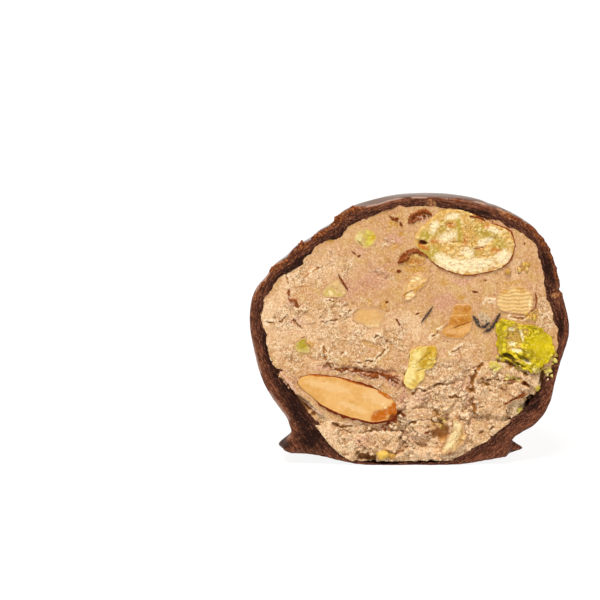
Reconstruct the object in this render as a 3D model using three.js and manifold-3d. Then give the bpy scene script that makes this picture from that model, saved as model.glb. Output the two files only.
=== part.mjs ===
// Half of a dark chocolate bonbon, cut through the middle: a chocolate shell on a spread foot,
// a crumbly nut filling, and the kernels and chips that the cut laid open.
// Millimetres, +Z up. The cut face looks along -Y. The origin is on the surface it rests on.

import * as THREE from "three";
import { mergeVertices } from "three/addons/utils/BufferGeometryUtils.js";
import Module from "manifold-3d";

const wasm = await Module();
wasm.setup();

// Driving dimensions
const cutPlane = -8; // y of the cut, in front of the origin
const depthShare = 0.96; // front-to-back reach against the side-to-side one
const fitGap = 0.3; // clearance between neighbouring pieces
const turnSteps = 48; // facets in a full turn of the shell and the cavity
const shellSteps = 3; // facets between two stations of the shell's profile
const cavitySteps = 2; // the same for the cavity and the filling

// Profiles are [distance from the upright axis, height], from the middle of the base round to the crown.
const shellRight = [
  [0, 0], [5, 0], [9.2, 0], [12.2, 0.05], [13, 0.25], [13.3, 0.9], [13.2, 2.6], [16, 4.9],
  [17.75, 8.3], [18.5, 12.2], [19.95, 17.2], [19, 22.2], [17.5, 27.4], [14.9, 30.8], [9, 33.6],
  [3.5, 34.3], [0, 34.35],
];
const shellLeft = [
  [0, 0], [5, 0], [10.5, 0], [13.8, 0.05], [14.9, 0.2], [15.3, 0.8], [14.9, 2.9], [15.7, 6.3],
  [17.6, 10], [19.1, 13.7], [20.05, 18.6], [19.3, 22.6], [16.4, 26.4], [12, 29.9], [8, 32.9],
  [3, 34.05], [0, 34.35],
];
const cavityRight = [
  [0, 0.9], [4, 0.9], [6.4, 1.5], [9.2, 2.7], [11.4, 4.6], [14, 6.8], [16.2, 9.6], [17.9, 13],
  [18.55, 16.6], [17.6, 20], [16.8, 23], [16.2, 26.4], [14.2, 29.6], [9, 31.7], [3.5, 33], [0, 33.1],
];
const cavityLeft = [
  [0, 0.9], [4.5, 0.9], [8.3, 1.4], [10.2, 2.7], [11.8, 5.3], [13.3, 7.6], [15.3, 10.4], [17.2, 13.3],
  [18.2, 16.8], [18.45, 20], [17.2, 22.8], [14, 25.7], [10.6, 28.1], [7.1, 30.7], [2.5, 32.8], [0, 33.1],
];
const footStation = 5; // the station at the tip of the spread foot

// The base curls up at the two ends of the cut, by these heights, and lies flat behind it.
const footLift = {
  right: 1.1, left: 1.7, innerRadius: 5, outerRadius: 14, fadeFrom: 1.5, fadeTo: 8, turnPower: 4,
};
// The foot's ragged rim reaches out beyond its profile, by waves round the axis: [turns, phase, reach].
const footWaves = [[5, 0.6, 0.4], [11, 2, 0.3], [19, 0.4, 0.2]];
const footReach = 1.4; // mean reach
const footGrowth = { from: 0.02, to: 0.14 }; // where the rim grows behind the cut, as the sine of the turn
const footTipFall = 3; // how quickly the reach dies away from one station to the next

// Swells and dents of the hand-dipped dome, placed by their turn from the cut's right end. They grow
// behind the cut too, so that none of them changes the outline there.
const swellGrowth = 0.4;
const domeSwells = [
  { turn: 38, height: 24, size: 6, rise: 0.55 },
  { turn: 75, height: 14, size: 7, rise: 0.4 },
  { turn: 100, height: 27, size: 6, rise: -0.5 },
  { turn: 128, height: 19, size: 6, rise: 0.6 },
  { turn: 155, height: 10, size: 5, rise: -0.35 },
];

// The cut face, in the plane of the cut: x across, z up, and how far the surface lies behind it.
const cutFace = { halfWidth: 23, low: -3, high: 37, thickness: 34, cell: 1.15 };
const sliced = { recess: 0.12, grain: 0.1, grainSize: 4, sample: 60 };
const hollows = [
  { x: 3, z: 10.3, halfWidth: 2.5, halfHeight: 1.2, depth: 1.1 },
  { x: 14.6, z: 10.6, halfWidth: 1.7, halfHeight: 1.7, depth: 2.4 },
  { x: 16.6, z: 8.4, halfWidth: 1.9, halfHeight: 2.4, depth: 2.6 },
  { x: 4.2, z: 4.5, halfWidth: 2.1, halfHeight: 2.2, depth: 1.9 },
  { x: 7.7, z: 5.9, halfWidth: 2.6, halfHeight: 1.1, depth: 1.3 },
  { x: 7.3, z: 9.4, halfWidth: 0.9, halfHeight: 2.9, depth: 1 },
  { x: -13.6, z: 8.6, halfWidth: 2.2, halfHeight: 1.3, depth: 0.9 },
];
const swells = [
  { x: 11.2, z: 8.9, halfWidth: 3.6, halfHeight: 2.7, depth: -0.7 },
  { x: 0, z: 1.6, halfWidth: 9, halfHeight: 2.6, depth: -0.8 },
  { x: -6.5, z: 3.6, halfWidth: 3, halfHeight: 1.8, depth: -0.5 },
];
const hollowEdge = { fall: 1.4, power: 3 }; // steepness of their sides
// Below a line that rises from left to right, the filling broke instead of being sliced.
const torn = {
  left: -6, right: 10, heightLeft: 6, heightRight: 12.5, blend: 2.2,
  crags: 0.75, cragSize: 2.4, coarseShare: 0.65, recess: 0.25, fineSample: 40,
};

// Kernels and chips: centre on the cut face, half sizes along and across their own axis, the depth
// behind the cut, the tilt in degrees, and how far the sliced side stands proud of the cut. The detail
// is that of the kernel's facets.
const kernels = [
  { name: "hazelnut", x: 7, z: 28.5, long: 5.9, wide: 4.1, deep: 4.4, tilt: -7, proud: 0.1,
    dents: 0.04, relief: 0.3, detail: 5, colour: "#e0c68a" },
  { name: "almond", x: -7.6, z: 8.8, long: 6.95, wide: 2.4, deep: 3.4, tilt: -15.5, proud: 0.2,
    dents: 0, taper: 0.22, relief: 0, detail: 5, colour: "#d9ac72" },
  { name: "pistachio_right", x: 14.4, z: 15.4, long: 4, wide: 3, deep: 3.4, tilt: -28, proud: 0.35,
    dents: 0.07, corners: 4, sharpness: 0.07, relief: 0.35, detail: 4, colour: "#a9a52a",
    pit: { x: 12.6, z: 16.4, halfWidth: 1, halfHeight: 1.7, depth: 1.1 } },
  { name: "pistachio_centre", x: 1.1, z: 12.9, long: 2.95, wide: 1.65, deep: 1.8, tilt: 55, proud: 0.25,
    dents: 0.1, corners: 4, sharpness: 0.08, relief: 0.15, detail: 3, colour: "#d7c24c" },
  { name: "pistachio_top", x: -5.5, z: 29, long: 1.9, wide: 1.35, deep: 1.6, tilt: 42, proud: 0.05,
    dents: 0.1, relief: 0, detail: 2, colour: "#ccb45a" },
  { name: "pistachio_left", x: -13.5, z: 15.4, long: 1.45, wide: 0.95, deep: 1.3, tilt: 38, proud: 0.05,
    dents: 0.1, corners: 3, sharpness: 0.12, relief: 0, detail: 2, colour: "#b5aa4a" },
  { name: "ridged_chip", x: 13, z: 21.4, long: 2.3, wide: 1.85, deep: 1.9, tilt: 6, proud: 0.12,
    dents: 0.04, corners: 4, sharpness: 0.09, cornerTurn: 45, relief: 0, detail: 3, colour: "#dfc084" },
  { name: "amber_chip", x: 5.9, z: 18.5, long: 2.75, wide: 1.5, deep: 1.8, tilt: 58, proud: 0.1,
    dents: 0.07, corners: 4, sharpness: 0.06, relief: 0, detail: 3, colour: "#c98f45" },
  { name: "peach_chip", x: -5.2, z: 18.9, long: 2.5, wide: 1.6, deep: 1.7, tilt: 0, proud: 0.06,
    dents: 0.05, corners: 3, sharpness: 0.14, cornerTurn: 90, relief: 0, detail: 3, colour: "#dcae78" },
  { name: "folded_chip", x: 0.7, z: 22.9, long: 2.4, wide: 1.5, deep: 1.6, tilt: 40, proud: 0.1,
    dents: 0.08, relief: 0, detail: 2, colour: "#dcbb80" },
  { name: "skinned_chip", x: 0.5, z: 26.6, long: 2.15, wide: 0.95, deep: 1.3, tilt: 6, proud: 0.05,
    dents: 0.05, relief: 0, detail: 2, colour: "#9a5a2c" },
  { name: "left_chip", x: -9.4, z: 22.6, long: 1.95, wide: 1.35, deep: 1.5, tilt: -18, proud: 0.08,
    dents: 0.08, corners: 3, sharpness: 0.1, relief: 0, detail: 2, colour: "#d4b680" },
  { name: "pale_chip", x: 5.6, z: 3.7, long: 2.4, wide: 0.8, deep: 2.6, tilt: 55, proud: 0.9,
    dents: 0.08, relief: 0, detail: 2, colour: "#e6cf9c" },
];

const pocketShare = 0.6; // a pocket's facets against its kernel's
const kernelCell = 1; // facets of a kernel's uneven cut
const kernelGrain = { size: 1.5, sample: 20 }; // the hills of that cut
const taperEnd = 0.6; // how much less a kernel's broad end swells than its pointed end narrows
const dentPitch = { size: 1.3, across: 3, through: 2 }; // the dents in a kernel's skin

const colours = { chocolate: "#3a1c14", filling: "#c39d7c" };
const finish = { chocolate: 0.3, filling: 0.85, kernel: 0.6 }; // roughness

const scramble = { across: 127.1, up: 311.7, scale: 43758.5453 }; // makes random values out of a sine
const weldDistance = 1e-4;

const radians = THREE.MathUtils.degToRad;
const smooth = THREE.MathUtils.smoothstep;

// A repeatable value between 0 and 1 for each corner of a grid.
function cornerValue(i, j) {
  const wave = Math.sin(i * scramble.across + j * scramble.up) * scramble.scale;
  return wave - Math.floor(wave);
}

// Soft random hills between -1 and 1, with one hill or dip to each cell of the given size.
function hills(x, z, size) {
  const i = Math.floor(x / size);
  const j = Math.floor(z / size);
  const across = smooth(x / size - i, 0, 1);
  const up = smooth(z / size - j, 0, 1);
  const low = THREE.MathUtils.lerp(cornerValue(i, j), cornerValue(i + 1, j), across);
  const high = THREE.MathUtils.lerp(cornerValue(i, j + 1), cornerValue(i + 1, j + 1), across);
  return 2 * THREE.MathUtils.lerp(low, high, up) - 1;
}

// A closed three.js geometry as a solid that can be joined and cut.
function solidOf(geometry) {
  const bare = geometry.clone();
  bare.deleteAttribute("normal");
  bare.deleteAttribute("uv");
  const merged = mergeVertices(bare, weldDistance);
  return new wasm.Manifold(
    new wasm.Mesh({
      numProp: 3,
      vertProperties: merged.attributes.position.array,
      triVerts: new Uint32Array(merged.index.array),
    }),
  );
}

function geometryOf(solid) {
  const mesh = solid.getMesh();
  return new THREE.BufferGeometry()
    .setAttribute("position", new THREE.BufferAttribute(mesh.vertProperties, 3))
    .setIndex(new THREE.BufferAttribute(mesh.triVerts, 1));
}

// The largest body of a solid: what a cut leaves loose is a crumb too small to keep.
function largestBody(solid) {
  return solid.decompose().sort((a, b) => b.volume() - a.volume())[0];
}

// Points along a profile, moved inwards by the inset at right angles to it.
function profilePoints(stations, stationSteps, inset) {
  const curve = new THREE.SplineCurve(stations.map(([radius, height]) => new THREE.Vector2(radius, height)));
  const steps = (stations.length - 1) * stationSteps;
  return curve.getPoints(steps).map((point, step) => {
    const along = curve.getTangent(step / steps);
    const onAxis = step === 0 || step === steps;
    const radius = onAxis ? 0 : Math.max(point.x - along.y * inset, 0);
    return new THREE.Vector2(radius, Math.max(point.y + along.x * inset, 0));
  });
}

// How far the foot's rim reaches out beyond its profile at a turn from the cut's right end.
function raggedReach(turn) {
  const reached = footWaves.reduce(
    (sum, [turns, phase, reach]) => sum + reach * Math.sin(turns * turn + phase),
    footReach,
  );
  return smooth(Math.abs(Math.sin(turn)), footGrowth.from, footGrowth.to) * reached;
}

// The dome's swells at a turn and a height.
function swellOfDome(turn, height, radius) {
  const grown = smooth(Math.abs(Math.sin(turn)), 0, swellGrowth);
  return domeSwells.reduce((sum, swell) => {
    const across = ((turn - radians(swell.turn)) * radius) / swell.size;
    const up = (height - swell.height) / swell.size;
    return sum + grown * swell.rise * Math.exp(-across * across - up * up);
  }, 0);
}

// A body turned about the upright axis whose profile passes from the right one to the left one.
function turnedBody(right, left, { stationSteps = cavitySteps, inset = 0, foot = false } = {}) {
  const rightPoints = profilePoints(right, stationSteps, inset);
  const leftPoints = profilePoints(left, stationSteps, inset);
  const geometry = new THREE.LatheGeometry(rightPoints, turnSteps);
  const position = geometry.attributes.position;
  for (let step = 0; step <= turnSteps; step += 1) {
    const turn = ((step % turnSteps) / turnSteps) * 2 * Math.PI - Math.PI / 2;
    const rightShare = (1 + Math.cos(turn)) / 2;
    rightPoints.forEach((rightPoint, index) => {
      const point = leftPoints[index].clone().lerp(rightPoint, rightShare);
      const fromTip = (index - footStation * stationSteps) / stationSteps;
      const ragged = foot ? raggedReach(turn) * Math.exp(-footTipFall * fromTip ** 2) : 0;
      const swell = point.x > 0 ? swellOfDome(turn, point.y, point.x) : 0;
      const curl =
        THREE.MathUtils.lerp(footLift.left, footLift.right, rightShare) *
        Math.cos(turn) ** footLift.turnPower *
        smooth(point.x, footLift.innerRadius, footLift.outerRadius) *
        (1 - smooth(point.y, footLift.fadeFrom, footLift.fadeTo));
      const radius = point.x + ragged + swell;
      position.setXYZ(
        step * rightPoints.length + index,
        radius * Math.cos(turn),
        cutPlane + radius * Math.sin(turn) * depthShare,
        point.y + curl,
      );
    });
  }
  return solidOf(geometry);
}

function dip(feature, x, z) {
  const across = (x - feature.x) / feature.halfWidth;
  const up = (z - feature.z) / feature.halfHeight;
  return feature.depth * Math.exp(-hollowEdge.fall * Math.hypot(across, up) ** hollowEdge.power);
}

// How far the filling's surface lies behind the cut plane.
function fillingRelief(x, z) {
  const rightShare = smooth(x, torn.left, torn.right);
  const edge = THREE.MathUtils.lerp(torn.heightLeft, torn.heightRight, rightShare);
  const broken = 1 - smooth(z, edge - torn.blend, edge + torn.blend);
  const fine = hills(x + torn.fineSample, z, torn.cragSize / 2);
  const crags = THREE.MathUtils.lerp(fine, hills(x, z, torn.cragSize), torn.coarseShare);
  const smeared = sliced.recess + sliced.grain * hills(x, z + sliced.sample, sliced.grainSize);
  return [...hollows, ...swells].reduce(
    (sum, feature) => sum + dip(feature, x, z),
    smeared + broken * torn.crags * (crags + torn.recess),
  );
}

// A block behind the cut whose front follows the relief.
function blockBehind(relief, cell, { left, right, low, high } = {
  left: -cutFace.halfWidth, right: cutFace.halfWidth, low: cutFace.low, high: cutFace.high,
}) {
  const wide = right - left;
  const tall = high - low;
  const block = new THREE.BoxGeometry(
    wide, cutFace.thickness, tall, Math.round(wide / cell), 1, Math.round(tall / cell),
  ).translate((left + right) / 2, cutPlane + cutFace.thickness / 2, (low + high) / 2);
  const position = block.attributes.position;
  for (let i = 0; i < position.count; i += 1) {
    const onFront = position.getY(i) < cutPlane + cutFace.thickness / 2;
    if (onFront) {
      position.setY(i, cutPlane + relief(position.getX(i), position.getZ(i)));
    }
  }
  return solidOf(block);
}

// A kernel or chip before the knife: a dented ellipsoid, cornered or tapered where it is so.
function wholeKernel(kernel, { detail = kernel.detail, grow = 0 } = {}) {
  const { x, z, long, wide, deep, tilt, dents } = kernel;
  const { taper = 0, corners = 0, sharpness = 0, cornerTurn = 0 } = kernel;
  const geometry = new THREE.IcosahedronGeometry(1, detail);
  const position = geometry.attributes.position;
  const point = new THREE.Vector3();
  for (let i = 0; i < position.count; i += 1) {
    point.fromBufferAttribute(position, i);
    const around = Math.atan2(point.z, point.x);
    const flat = Math.hypot(point.x, point.z);
    const cornered = 1 + flat * sharpness * Math.cos(corners * (around - radians(cornerTurn)));
    const dented = 1 + dents * hills(
      x + dentPitch.across * point.x,
      z + dentPitch.across * point.z + dentPitch.through * point.y,
      dentPitch.size,
    );
    const narrowed = 1 + taper * point.x * (1 - taperEnd * point.x);
    position.setXYZ(
      i,
      point.x * cornered * dented * (long + grow),
      point.y * dented * narrowed * (deep + grow),
      point.z * cornered * dented * narrowed * (wide + grow),
    );
  }
  geometry.rotateY(-radians(tilt)).translate(x, cutPlane, z);
  return solidOf(geometry);
}

// The kernel as the knife left it, inside the filling's outline and with its sliced face in front.
function slicedKernel(kernel, room) {
  const reach = kernel.long + 1;
  const relief = (x, z) =>
    -kernel.proud +
    kernel.relief * hills(x, z + kernelGrain.sample, kernelGrain.size) +
    (kernel.pit ? dip(kernel.pit, x, z) : 0);
  const block = blockBehind(relief, kernel.relief > 0 ? kernelCell : 2 * reach, {
    left: kernel.x - reach, right: kernel.x + reach, low: kernel.z - reach, high: kernel.z + reach,
  });
  return wholeKernel(kernel).intersect(block).intersect(room);
}

function meshOf(name, solid, colour, roughness) {
  const material = new THREE.MeshStandardMaterial({ color: colour, roughness, metalness: 0 });
  const mesh = new THREE.Mesh(geometryOf(solid), material);
  mesh.name = name;
  return mesh;
}

const behindCut = blockBehind(() => 0, 2 * cutFace.halfWidth);
const cavity = turnedBody(cavityRight, cavityLeft);
const dome = turnedBody(shellRight, shellLeft, { stationSteps: shellSteps, foot: true });
const shell = dome.intersect(behindCut).subtract(cavity);
const fillingRoom = turnedBody(cavityRight, cavityLeft, { inset: fitGap });
const pockets = kernels.map((kernel) =>
  wholeKernel(kernel, { detail: Math.ceil(kernel.detail * pocketShare), grow: fitGap }),
);
const clearOf = (solid, others) => others.reduce((rest, other) => rest.subtract(other), solid);
const filling = clearOf(fillingRoom.intersect(blockBehind(fillingRelief, cutFace.cell)), pockets);

const bonbon = new THREE.Group();
bonbon.add(meshOf("chocolate_shell", largestBody(shell), colours.chocolate, finish.chocolate));
bonbon.add(meshOf("filling", largestBody(filling), colours.filling, finish.filling));
kernels.forEach((kernel, index) => {
  const piece = clearOf(slicedKernel(kernel, fillingRoom), pockets.slice(0, index)); // a later one gives way
  bonbon.add(meshOf(kernel.name, largestBody(piece), kernel.colour, finish.kernel));
});

export default bonbon;
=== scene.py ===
import math
import random

import bmesh
import bpy
from mathutils import Matrix, Vector, noise


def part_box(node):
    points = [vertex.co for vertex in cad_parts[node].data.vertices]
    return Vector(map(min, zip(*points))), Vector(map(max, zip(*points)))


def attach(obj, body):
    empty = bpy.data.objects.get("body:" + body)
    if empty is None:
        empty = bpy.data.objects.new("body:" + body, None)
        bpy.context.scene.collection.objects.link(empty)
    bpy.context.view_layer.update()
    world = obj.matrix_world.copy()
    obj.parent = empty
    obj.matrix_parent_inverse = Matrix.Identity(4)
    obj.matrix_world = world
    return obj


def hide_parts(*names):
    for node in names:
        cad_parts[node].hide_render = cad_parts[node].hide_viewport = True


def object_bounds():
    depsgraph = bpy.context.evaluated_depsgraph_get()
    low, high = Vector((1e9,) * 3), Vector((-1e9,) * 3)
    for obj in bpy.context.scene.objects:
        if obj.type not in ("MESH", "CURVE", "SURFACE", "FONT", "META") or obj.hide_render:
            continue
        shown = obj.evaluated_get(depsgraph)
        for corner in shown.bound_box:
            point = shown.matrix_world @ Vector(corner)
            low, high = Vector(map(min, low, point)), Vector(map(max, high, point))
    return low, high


# A half dark chocolate bonbon, cut upright: the glossy shell with its crumbled cut edge, the nut
# filling, and the kernels, chips, skins and crumbs that the cut laid open.
# Shapes are worked out in millimetres in the frame's axes and turned into metres as each piece is done.
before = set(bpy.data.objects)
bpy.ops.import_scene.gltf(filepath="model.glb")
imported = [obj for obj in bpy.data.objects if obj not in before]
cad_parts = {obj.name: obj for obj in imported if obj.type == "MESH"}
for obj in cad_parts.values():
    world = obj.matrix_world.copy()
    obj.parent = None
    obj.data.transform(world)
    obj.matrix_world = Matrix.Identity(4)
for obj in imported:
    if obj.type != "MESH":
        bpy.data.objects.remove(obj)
cadLow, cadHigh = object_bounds()
mm = 0.001
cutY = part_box("chocolate_shell")[0].y / mm  # the cut face looks along -Y
boxLow, boxHigh = cadLow / mm, cadHigh / mm
noiseSeed = 11
noise.seed_set(noiseSeed)  # else noise_vector differs from run to run
print("frame loaded, cut face at y", round(cutY, 2), "mm")


# Small tools

def smooth(value, low, high):
    share = max(0.0, min(1.0, (value - low) / (high - low)))
    return share * share * (3 - 2 * share)


def blend(a, b, share):
    return a + (b - a) * share


def clamp(value, low=0.0, high=1.0):
    return max(low, min(high, value))


# Noise between about -1 and 1 whose lumps have the given size, on the cut face or in space.
def lumps(x, z, size, sample=0.0, y=0.0):
    return noise.noise(Vector((x / size + sample, y / size + 3.1 * sample, z / size - sample)))


# Rounded crumbs of several sizes from the given one down: 0 in the creases between them, about 0.5
# on most of them and up to 1 on the proudest.
def crumbs(x, z, size, sample, octaves=4):
    bend = noise.noise_vector(Vector((x / size + sample, 9 + sample, z / size)))
    place = Vector((x / size + 0.4 * bend.x + sample, sample, z / size + 0.4 * bend.z))
    return noise.turbulence(place, octaves, True, amplitude_scale=0.6, frequency_scale=2.1)


# Broken facets, each with a level, a lean and a tint of its own. Returns the height, how near it is to
# an edge, and the tint.
def facets(x, z, size, sample, lean=1.6):
    bend = noise.noise_vector(Vector((1.5 * x / size, sample, 1.5 * z / size))) * 0.4
    bend += noise.noise_vector(Vector((5 * x / size, sample, 5 * z / size))) * 0.16
    bend += noise.noise_vector(Vector((13 * x / size, sample, 13 * z / size))) * 0.07
    here = Vector((x / size + bend.x, sample, z / size + bend.z))
    away, centres = noise.voronoi(here)
    heights = []
    for centre in centres[:2]:
        own = noise.noise_vector(centre * 9.7)
        off = here - centre
        heights.append(own.x + lean * (own.y * off.x + own.z * off.z))
    gap = away[1] - away[0]
    tint = noise.noise(centres[0] * 7.3)
    return blend(heights[0], heights[1], 0.5 * (1 - smooth(gap, 0, 0.1))), 1 - smooth(gap, 0, 0.16), tint


stationSteps = 24  # places worked out from one station of an outline to the next


# The curve through the stations, at a place counted in stations.
def splineAt(stations, place, closed=False):
    count = len(stations)
    first = int(place) if closed else min(int(place), count - 2)
    t = place - first
    picks = [first - 1, first, first + 1, first + 2]
    if closed:
        p0, p1, p2, p3 = (Vector(stations[k % count]) for k in picks)
    else:
        p0, p1, p2, p3 = (Vector(stations[max(0, min(count - 1, k))]) for k in picks)
    v1, v2 = (p2 - p0) / 2, (p3 - p1) / 2
    return (2 * p1 - 2 * p2 + v1 + v2) * t**3 + (3 * p2 - 3 * p1 - 2 * v1 - v2) * t**2 + v1 * t + p1


# Distance from a point of the cut face to a line of points, and the share of the way along it.
def lineDistance(line, x, z):
    best, where = 1e9, 0.0
    for k in range(len(line) - 1):
        ax, az = line[k]
        dx, dz = line[k + 1][0] - ax, line[k + 1][1] - az
        t = clamp(((x - ax) * dx + (z - az) * dz) / (dx * dx + dz * dz))
        away = math.hypot(x - ax - t * dx, z - az - t * dz)
        if away < best:
            best, where = away, (k + t) / (len(line) - 1)
    return best, where


# 1 in the middle of an oval spot, 0 outside it, with an edge that wanders a little.
def spotShare(spot, x, z, soft=0.35, wander=0.35):
    sx, sz, halfWide, halfHigh, tilt = spot
    if abs(x - sx) > 2 * max(halfWide, halfHigh) or abs(z - sz) > 2 * max(halfWide, halfHigh):
        return 0.0
    turn = math.radians(tilt)
    across = ((x - sx) * math.cos(turn) + (z - sz) * math.sin(turn)) / halfWide
    up = ((z - sz) * math.cos(turn) - (x - sx) * math.sin(turn)) / halfHigh
    away = math.hypot(across, up) + wander * lumps(x, z, 0.5, sample=4.0)
    return 1 - smooth(away, 1 - soft, 1 + soft)


# The largest share that any of the spots has here.
def most(spots, x, z, soft=0.35, wander=0.35):
    return max((spotShare(spot, x, z, soft, wander) for spot in spots), default=0.0)


def linear(hexColour):
    channels = [int(hexColour[k:k + 2], 16) / 255 for k in (1, 3, 5)]
    return [c / 12.92 if c <= 0.04045 else ((c + 0.055) / 1.055) ** 2.4 for c in channels] + [1.0]


# Adds a node with its settings and links, and hands back one of its outputs. An input is a value, a hex
# colour or the output that feeds it.
def addNode(tree, kind, inputs=None, output=0, **settings):
    node = tree.nodes.new("ShaderNode" + kind)
    for name, value in settings.items():
        setattr(node, name, value)
    for name, value in (inputs or {}).items():
        if isinstance(value, bpy.types.NodeSocket):
            tree.links.new(value, node.inputs[name])
        else:
            node.inputs[name].default_value = linear(value) if isinstance(value, str) else value
    return node.outputs[output] if node.outputs else None


# Scale of a pattern whose cells have this size in millimetres, on coordinates in metres.
def perCell(size):
    return 1 / (size * mm)


def newMaterial(name):
    material = bpy.data.materials.new(name)
    material.use_nodes = True
    tree = material.node_tree
    tree.nodes.clear()
    return material, tree, addNode(tree, "TexCoord", output="Object")


# The material, once a shader with these inputs gives its surface.
def finished(material, tree, inputs):
    addNode(tree, "OutputMaterial", {"Surface": addNode(tree, "BsdfPrincipled", inputs)})
    return material


# Turns a finished bmesh, in millimetres, into a piece that rides with the bonbon.
def makePiece(name, bm, materials, replaced=()):
    for v in bm.verts:
        v.co = [clamp(c, low, high) for c, low, high in zip(v.co, boxLow, boxHigh)]
    bmesh.ops.scale(bm, vec=(mm, mm, mm), verts=bm.verts)
    for face in bm.faces:
        face.smooth = True
    mesh = bpy.data.meshes.new(name)
    bm.to_mesh(mesh)
    bm.free()
    piece = bpy.data.objects.new(name, mesh)
    bpy.context.scene.collection.objects.link(piece)
    for material in materials:
        mesh.materials.append(material)
    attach(piece, "root")
    if replaced:
        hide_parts(*replaced)
    triangles = sum(len(p.vertices) - 2 for p in mesh.polygons)
    print("piece", name, triangles, "triangles")


# Coats of colour laid one over another: [where, from, to, amount, colour]. A coat shows where a pattern
# or a painted share goes from the one value to the other.
def laidOver(tree, colour, *coats):
    for where, start, end, amount, coat in coats:
        if isinstance(where, str):
            where = addNode(tree, "Attribute", output="Fac", attribute_name=where)
        shown = addNode(tree, "MapRange", {"Value": where, "From Min": start, "From Max": end,
                                           "To Max": amount})
        colour = addNode(tree, "Mix", {0: shown, 6: colour, 7: coat}, output=2, data_type="RGBA")
    return colour


# Where a coat shows whose painted share has a soft edge that the grain makes crisp and ragged.
def ragged(tree, name, grain, spread, edge):
    painted = addNode(tree, "Attribute", output="Fac", attribute_name=name)
    bent = addNode(tree, "Math", {0: grain, 1: spread, 2: painted}, operation="MULTIPLY_ADD")
    middle = (1 + spread) / 2
    return bent, middle - edge, middle + edge


# Tempered dark chocolate, hand dipped: a gloss with soft ripples.
def dippedChocolate():
    material, tree, place = newMaterial("temperedDarkChocolate")
    ripple = addNode(tree, "TexNoise", {"Vector": place, "Scale": perCell(5), "Detail": 3,
                                        "Roughness": 0.6})
    waves = addNode(tree, "Bump", {"Height": ripple, "Distance": 0.25 * mm, "Strength": 0.5})
    return finished(material, tree, {
        "Base Color": laidOver(tree, "#2a0f07", (ripple, 0.35, 0.65, 1, "#3c190d")),
        "Roughness": 0.22, "IOR": 1.46, "Normal": waves})


# Cut chocolate: dull, nearly black inside and red-brown outside, drawn out by the knife in fine layers
# and cross-hatched, with an orange-brown crust of crumbs where it broke. Glints on it are painted
# highlights; painted shade darkens its gaps, the creases of its crust and the parts that lie in shade.
def cutChocolate():
    material, tree, place = newMaterial("cutDarkChocolate")
    rim = addNode(tree, "Attribute", output="Vector", attribute_name="rimPlace")
    drawn = addNode(tree, "Mapping", {"Vector": rim, "Scale": (0.15, 1, 1)})
    layer = addNode(tree, "TexNoise", {"Vector": drawn, "Scale": perCell(0.27), "Detail": 5,
                                       "Roughness": 0.72})
    leaning = addNode(tree, "Mapping", {"Vector": rim, "Rotation": (0, 0, 0.7)})
    crossing = addNode(tree, "Mapping", {"Vector": leaning, "Scale": (0.3, 1, 1)})
    hatch = addNode(tree, "TexNoise", {"Vector": crossing, "Scale": perCell(0.16), "Detail": 3,
                                       "Roughness": 0.6})
    glintPlace = addNode(tree, "Mapping", {"Vector": rim, "Scale": (0.35, 1, 1)})
    glint = addNode(tree, "TexNoise", {"Vector": glintPlace, "Scale": perCell(0.17), "Detail": 3,
                                       "Roughness": 0.8})
    grain = addNode(tree, "TexNoise", {"Vector": place, "Scale": perCell(0.26), "Detail": 5,
                                       "Roughness": 0.72})
    crumbled, dark, outer, pale = (
        addNode(tree, "Attribute", output="Fac", attribute_name=name)
        for name in ("crumbledShare", "rimShadeShare", "outerShare", "paleShare"))
    inside = laidOver(tree, "#2f1106", (layer, 0.36, 0.64, 1, "#633626"))
    outside = laidOver(tree, "#4b1d0b", (layer, 0.38, 0.62, 1, "#885137"))
    crust = laidOver(tree, "#5e2711", (grain, 0.44, 0.58, 1, "#a8602f"), (grain, 0.6, 0.68, 0.8, "#dca878"))
    sparse = addNode(tree, "Math", {0: outer, 1: 0.5}, operation="MULTIPLY")
    colour = laidOver(
        tree, inside, (outer, 0, 1, 1, outside),
        (hatch, 0.5, 0.38, 0.45, "#2a1006"),  # dark hatching
        (layer, 0.56, 0.66, 0.7, "#a5613f"),  # red-brown streaks
        (glint, 0.45, 0.36, 0.8, "#220b04"),  # painted shade, nearly black, in the gaps
        (glint, 0.56, 0.64, 0.7, "#bb7f5b"),  # painted glints, pale
        (grain, 0.6, 0.68, sparse, "#bb8560"),  # specks
        (*ragged(tree, "crumbledShare", grain, 1.3, 0.12), 1, crust),
        # painted shade, nearly black, where the rim's shade share lies
        (layer, 0.8, 0.5, dark, "#240d05"),
        (glint, 0.59, 0.67, 0.5, "#a86e55"),  # painted glints in the dark parts too
        ("edgeShare", 0, 1, 1, "#c9a490"),  # the corner where it catches the light
        (grain, 0.42, 0.55, pale, "#c08353"))
    layered = addNode(tree, "Bump", {"Height": layer, "Distance": 0.2 * mm, "Strength": 0.9})
    hatched = addNode(tree, "Bump", {"Height": hatch, "Distance": 0.14 * mm, "Strength": 0.7,
                                     "Normal": layered})
    crumbly = addNode(tree, "Bump", {"Height": grain, "Distance": 0.14 * mm, "Strength": crumbled,
                                     "Normal": hatched})
    return finished(material, tree, {
        "Base Color": colour, "Roughness": 0.4, "IOR": 1.46, "Specular IOR Level": 0.1, "Normal": crumbly})
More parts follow.
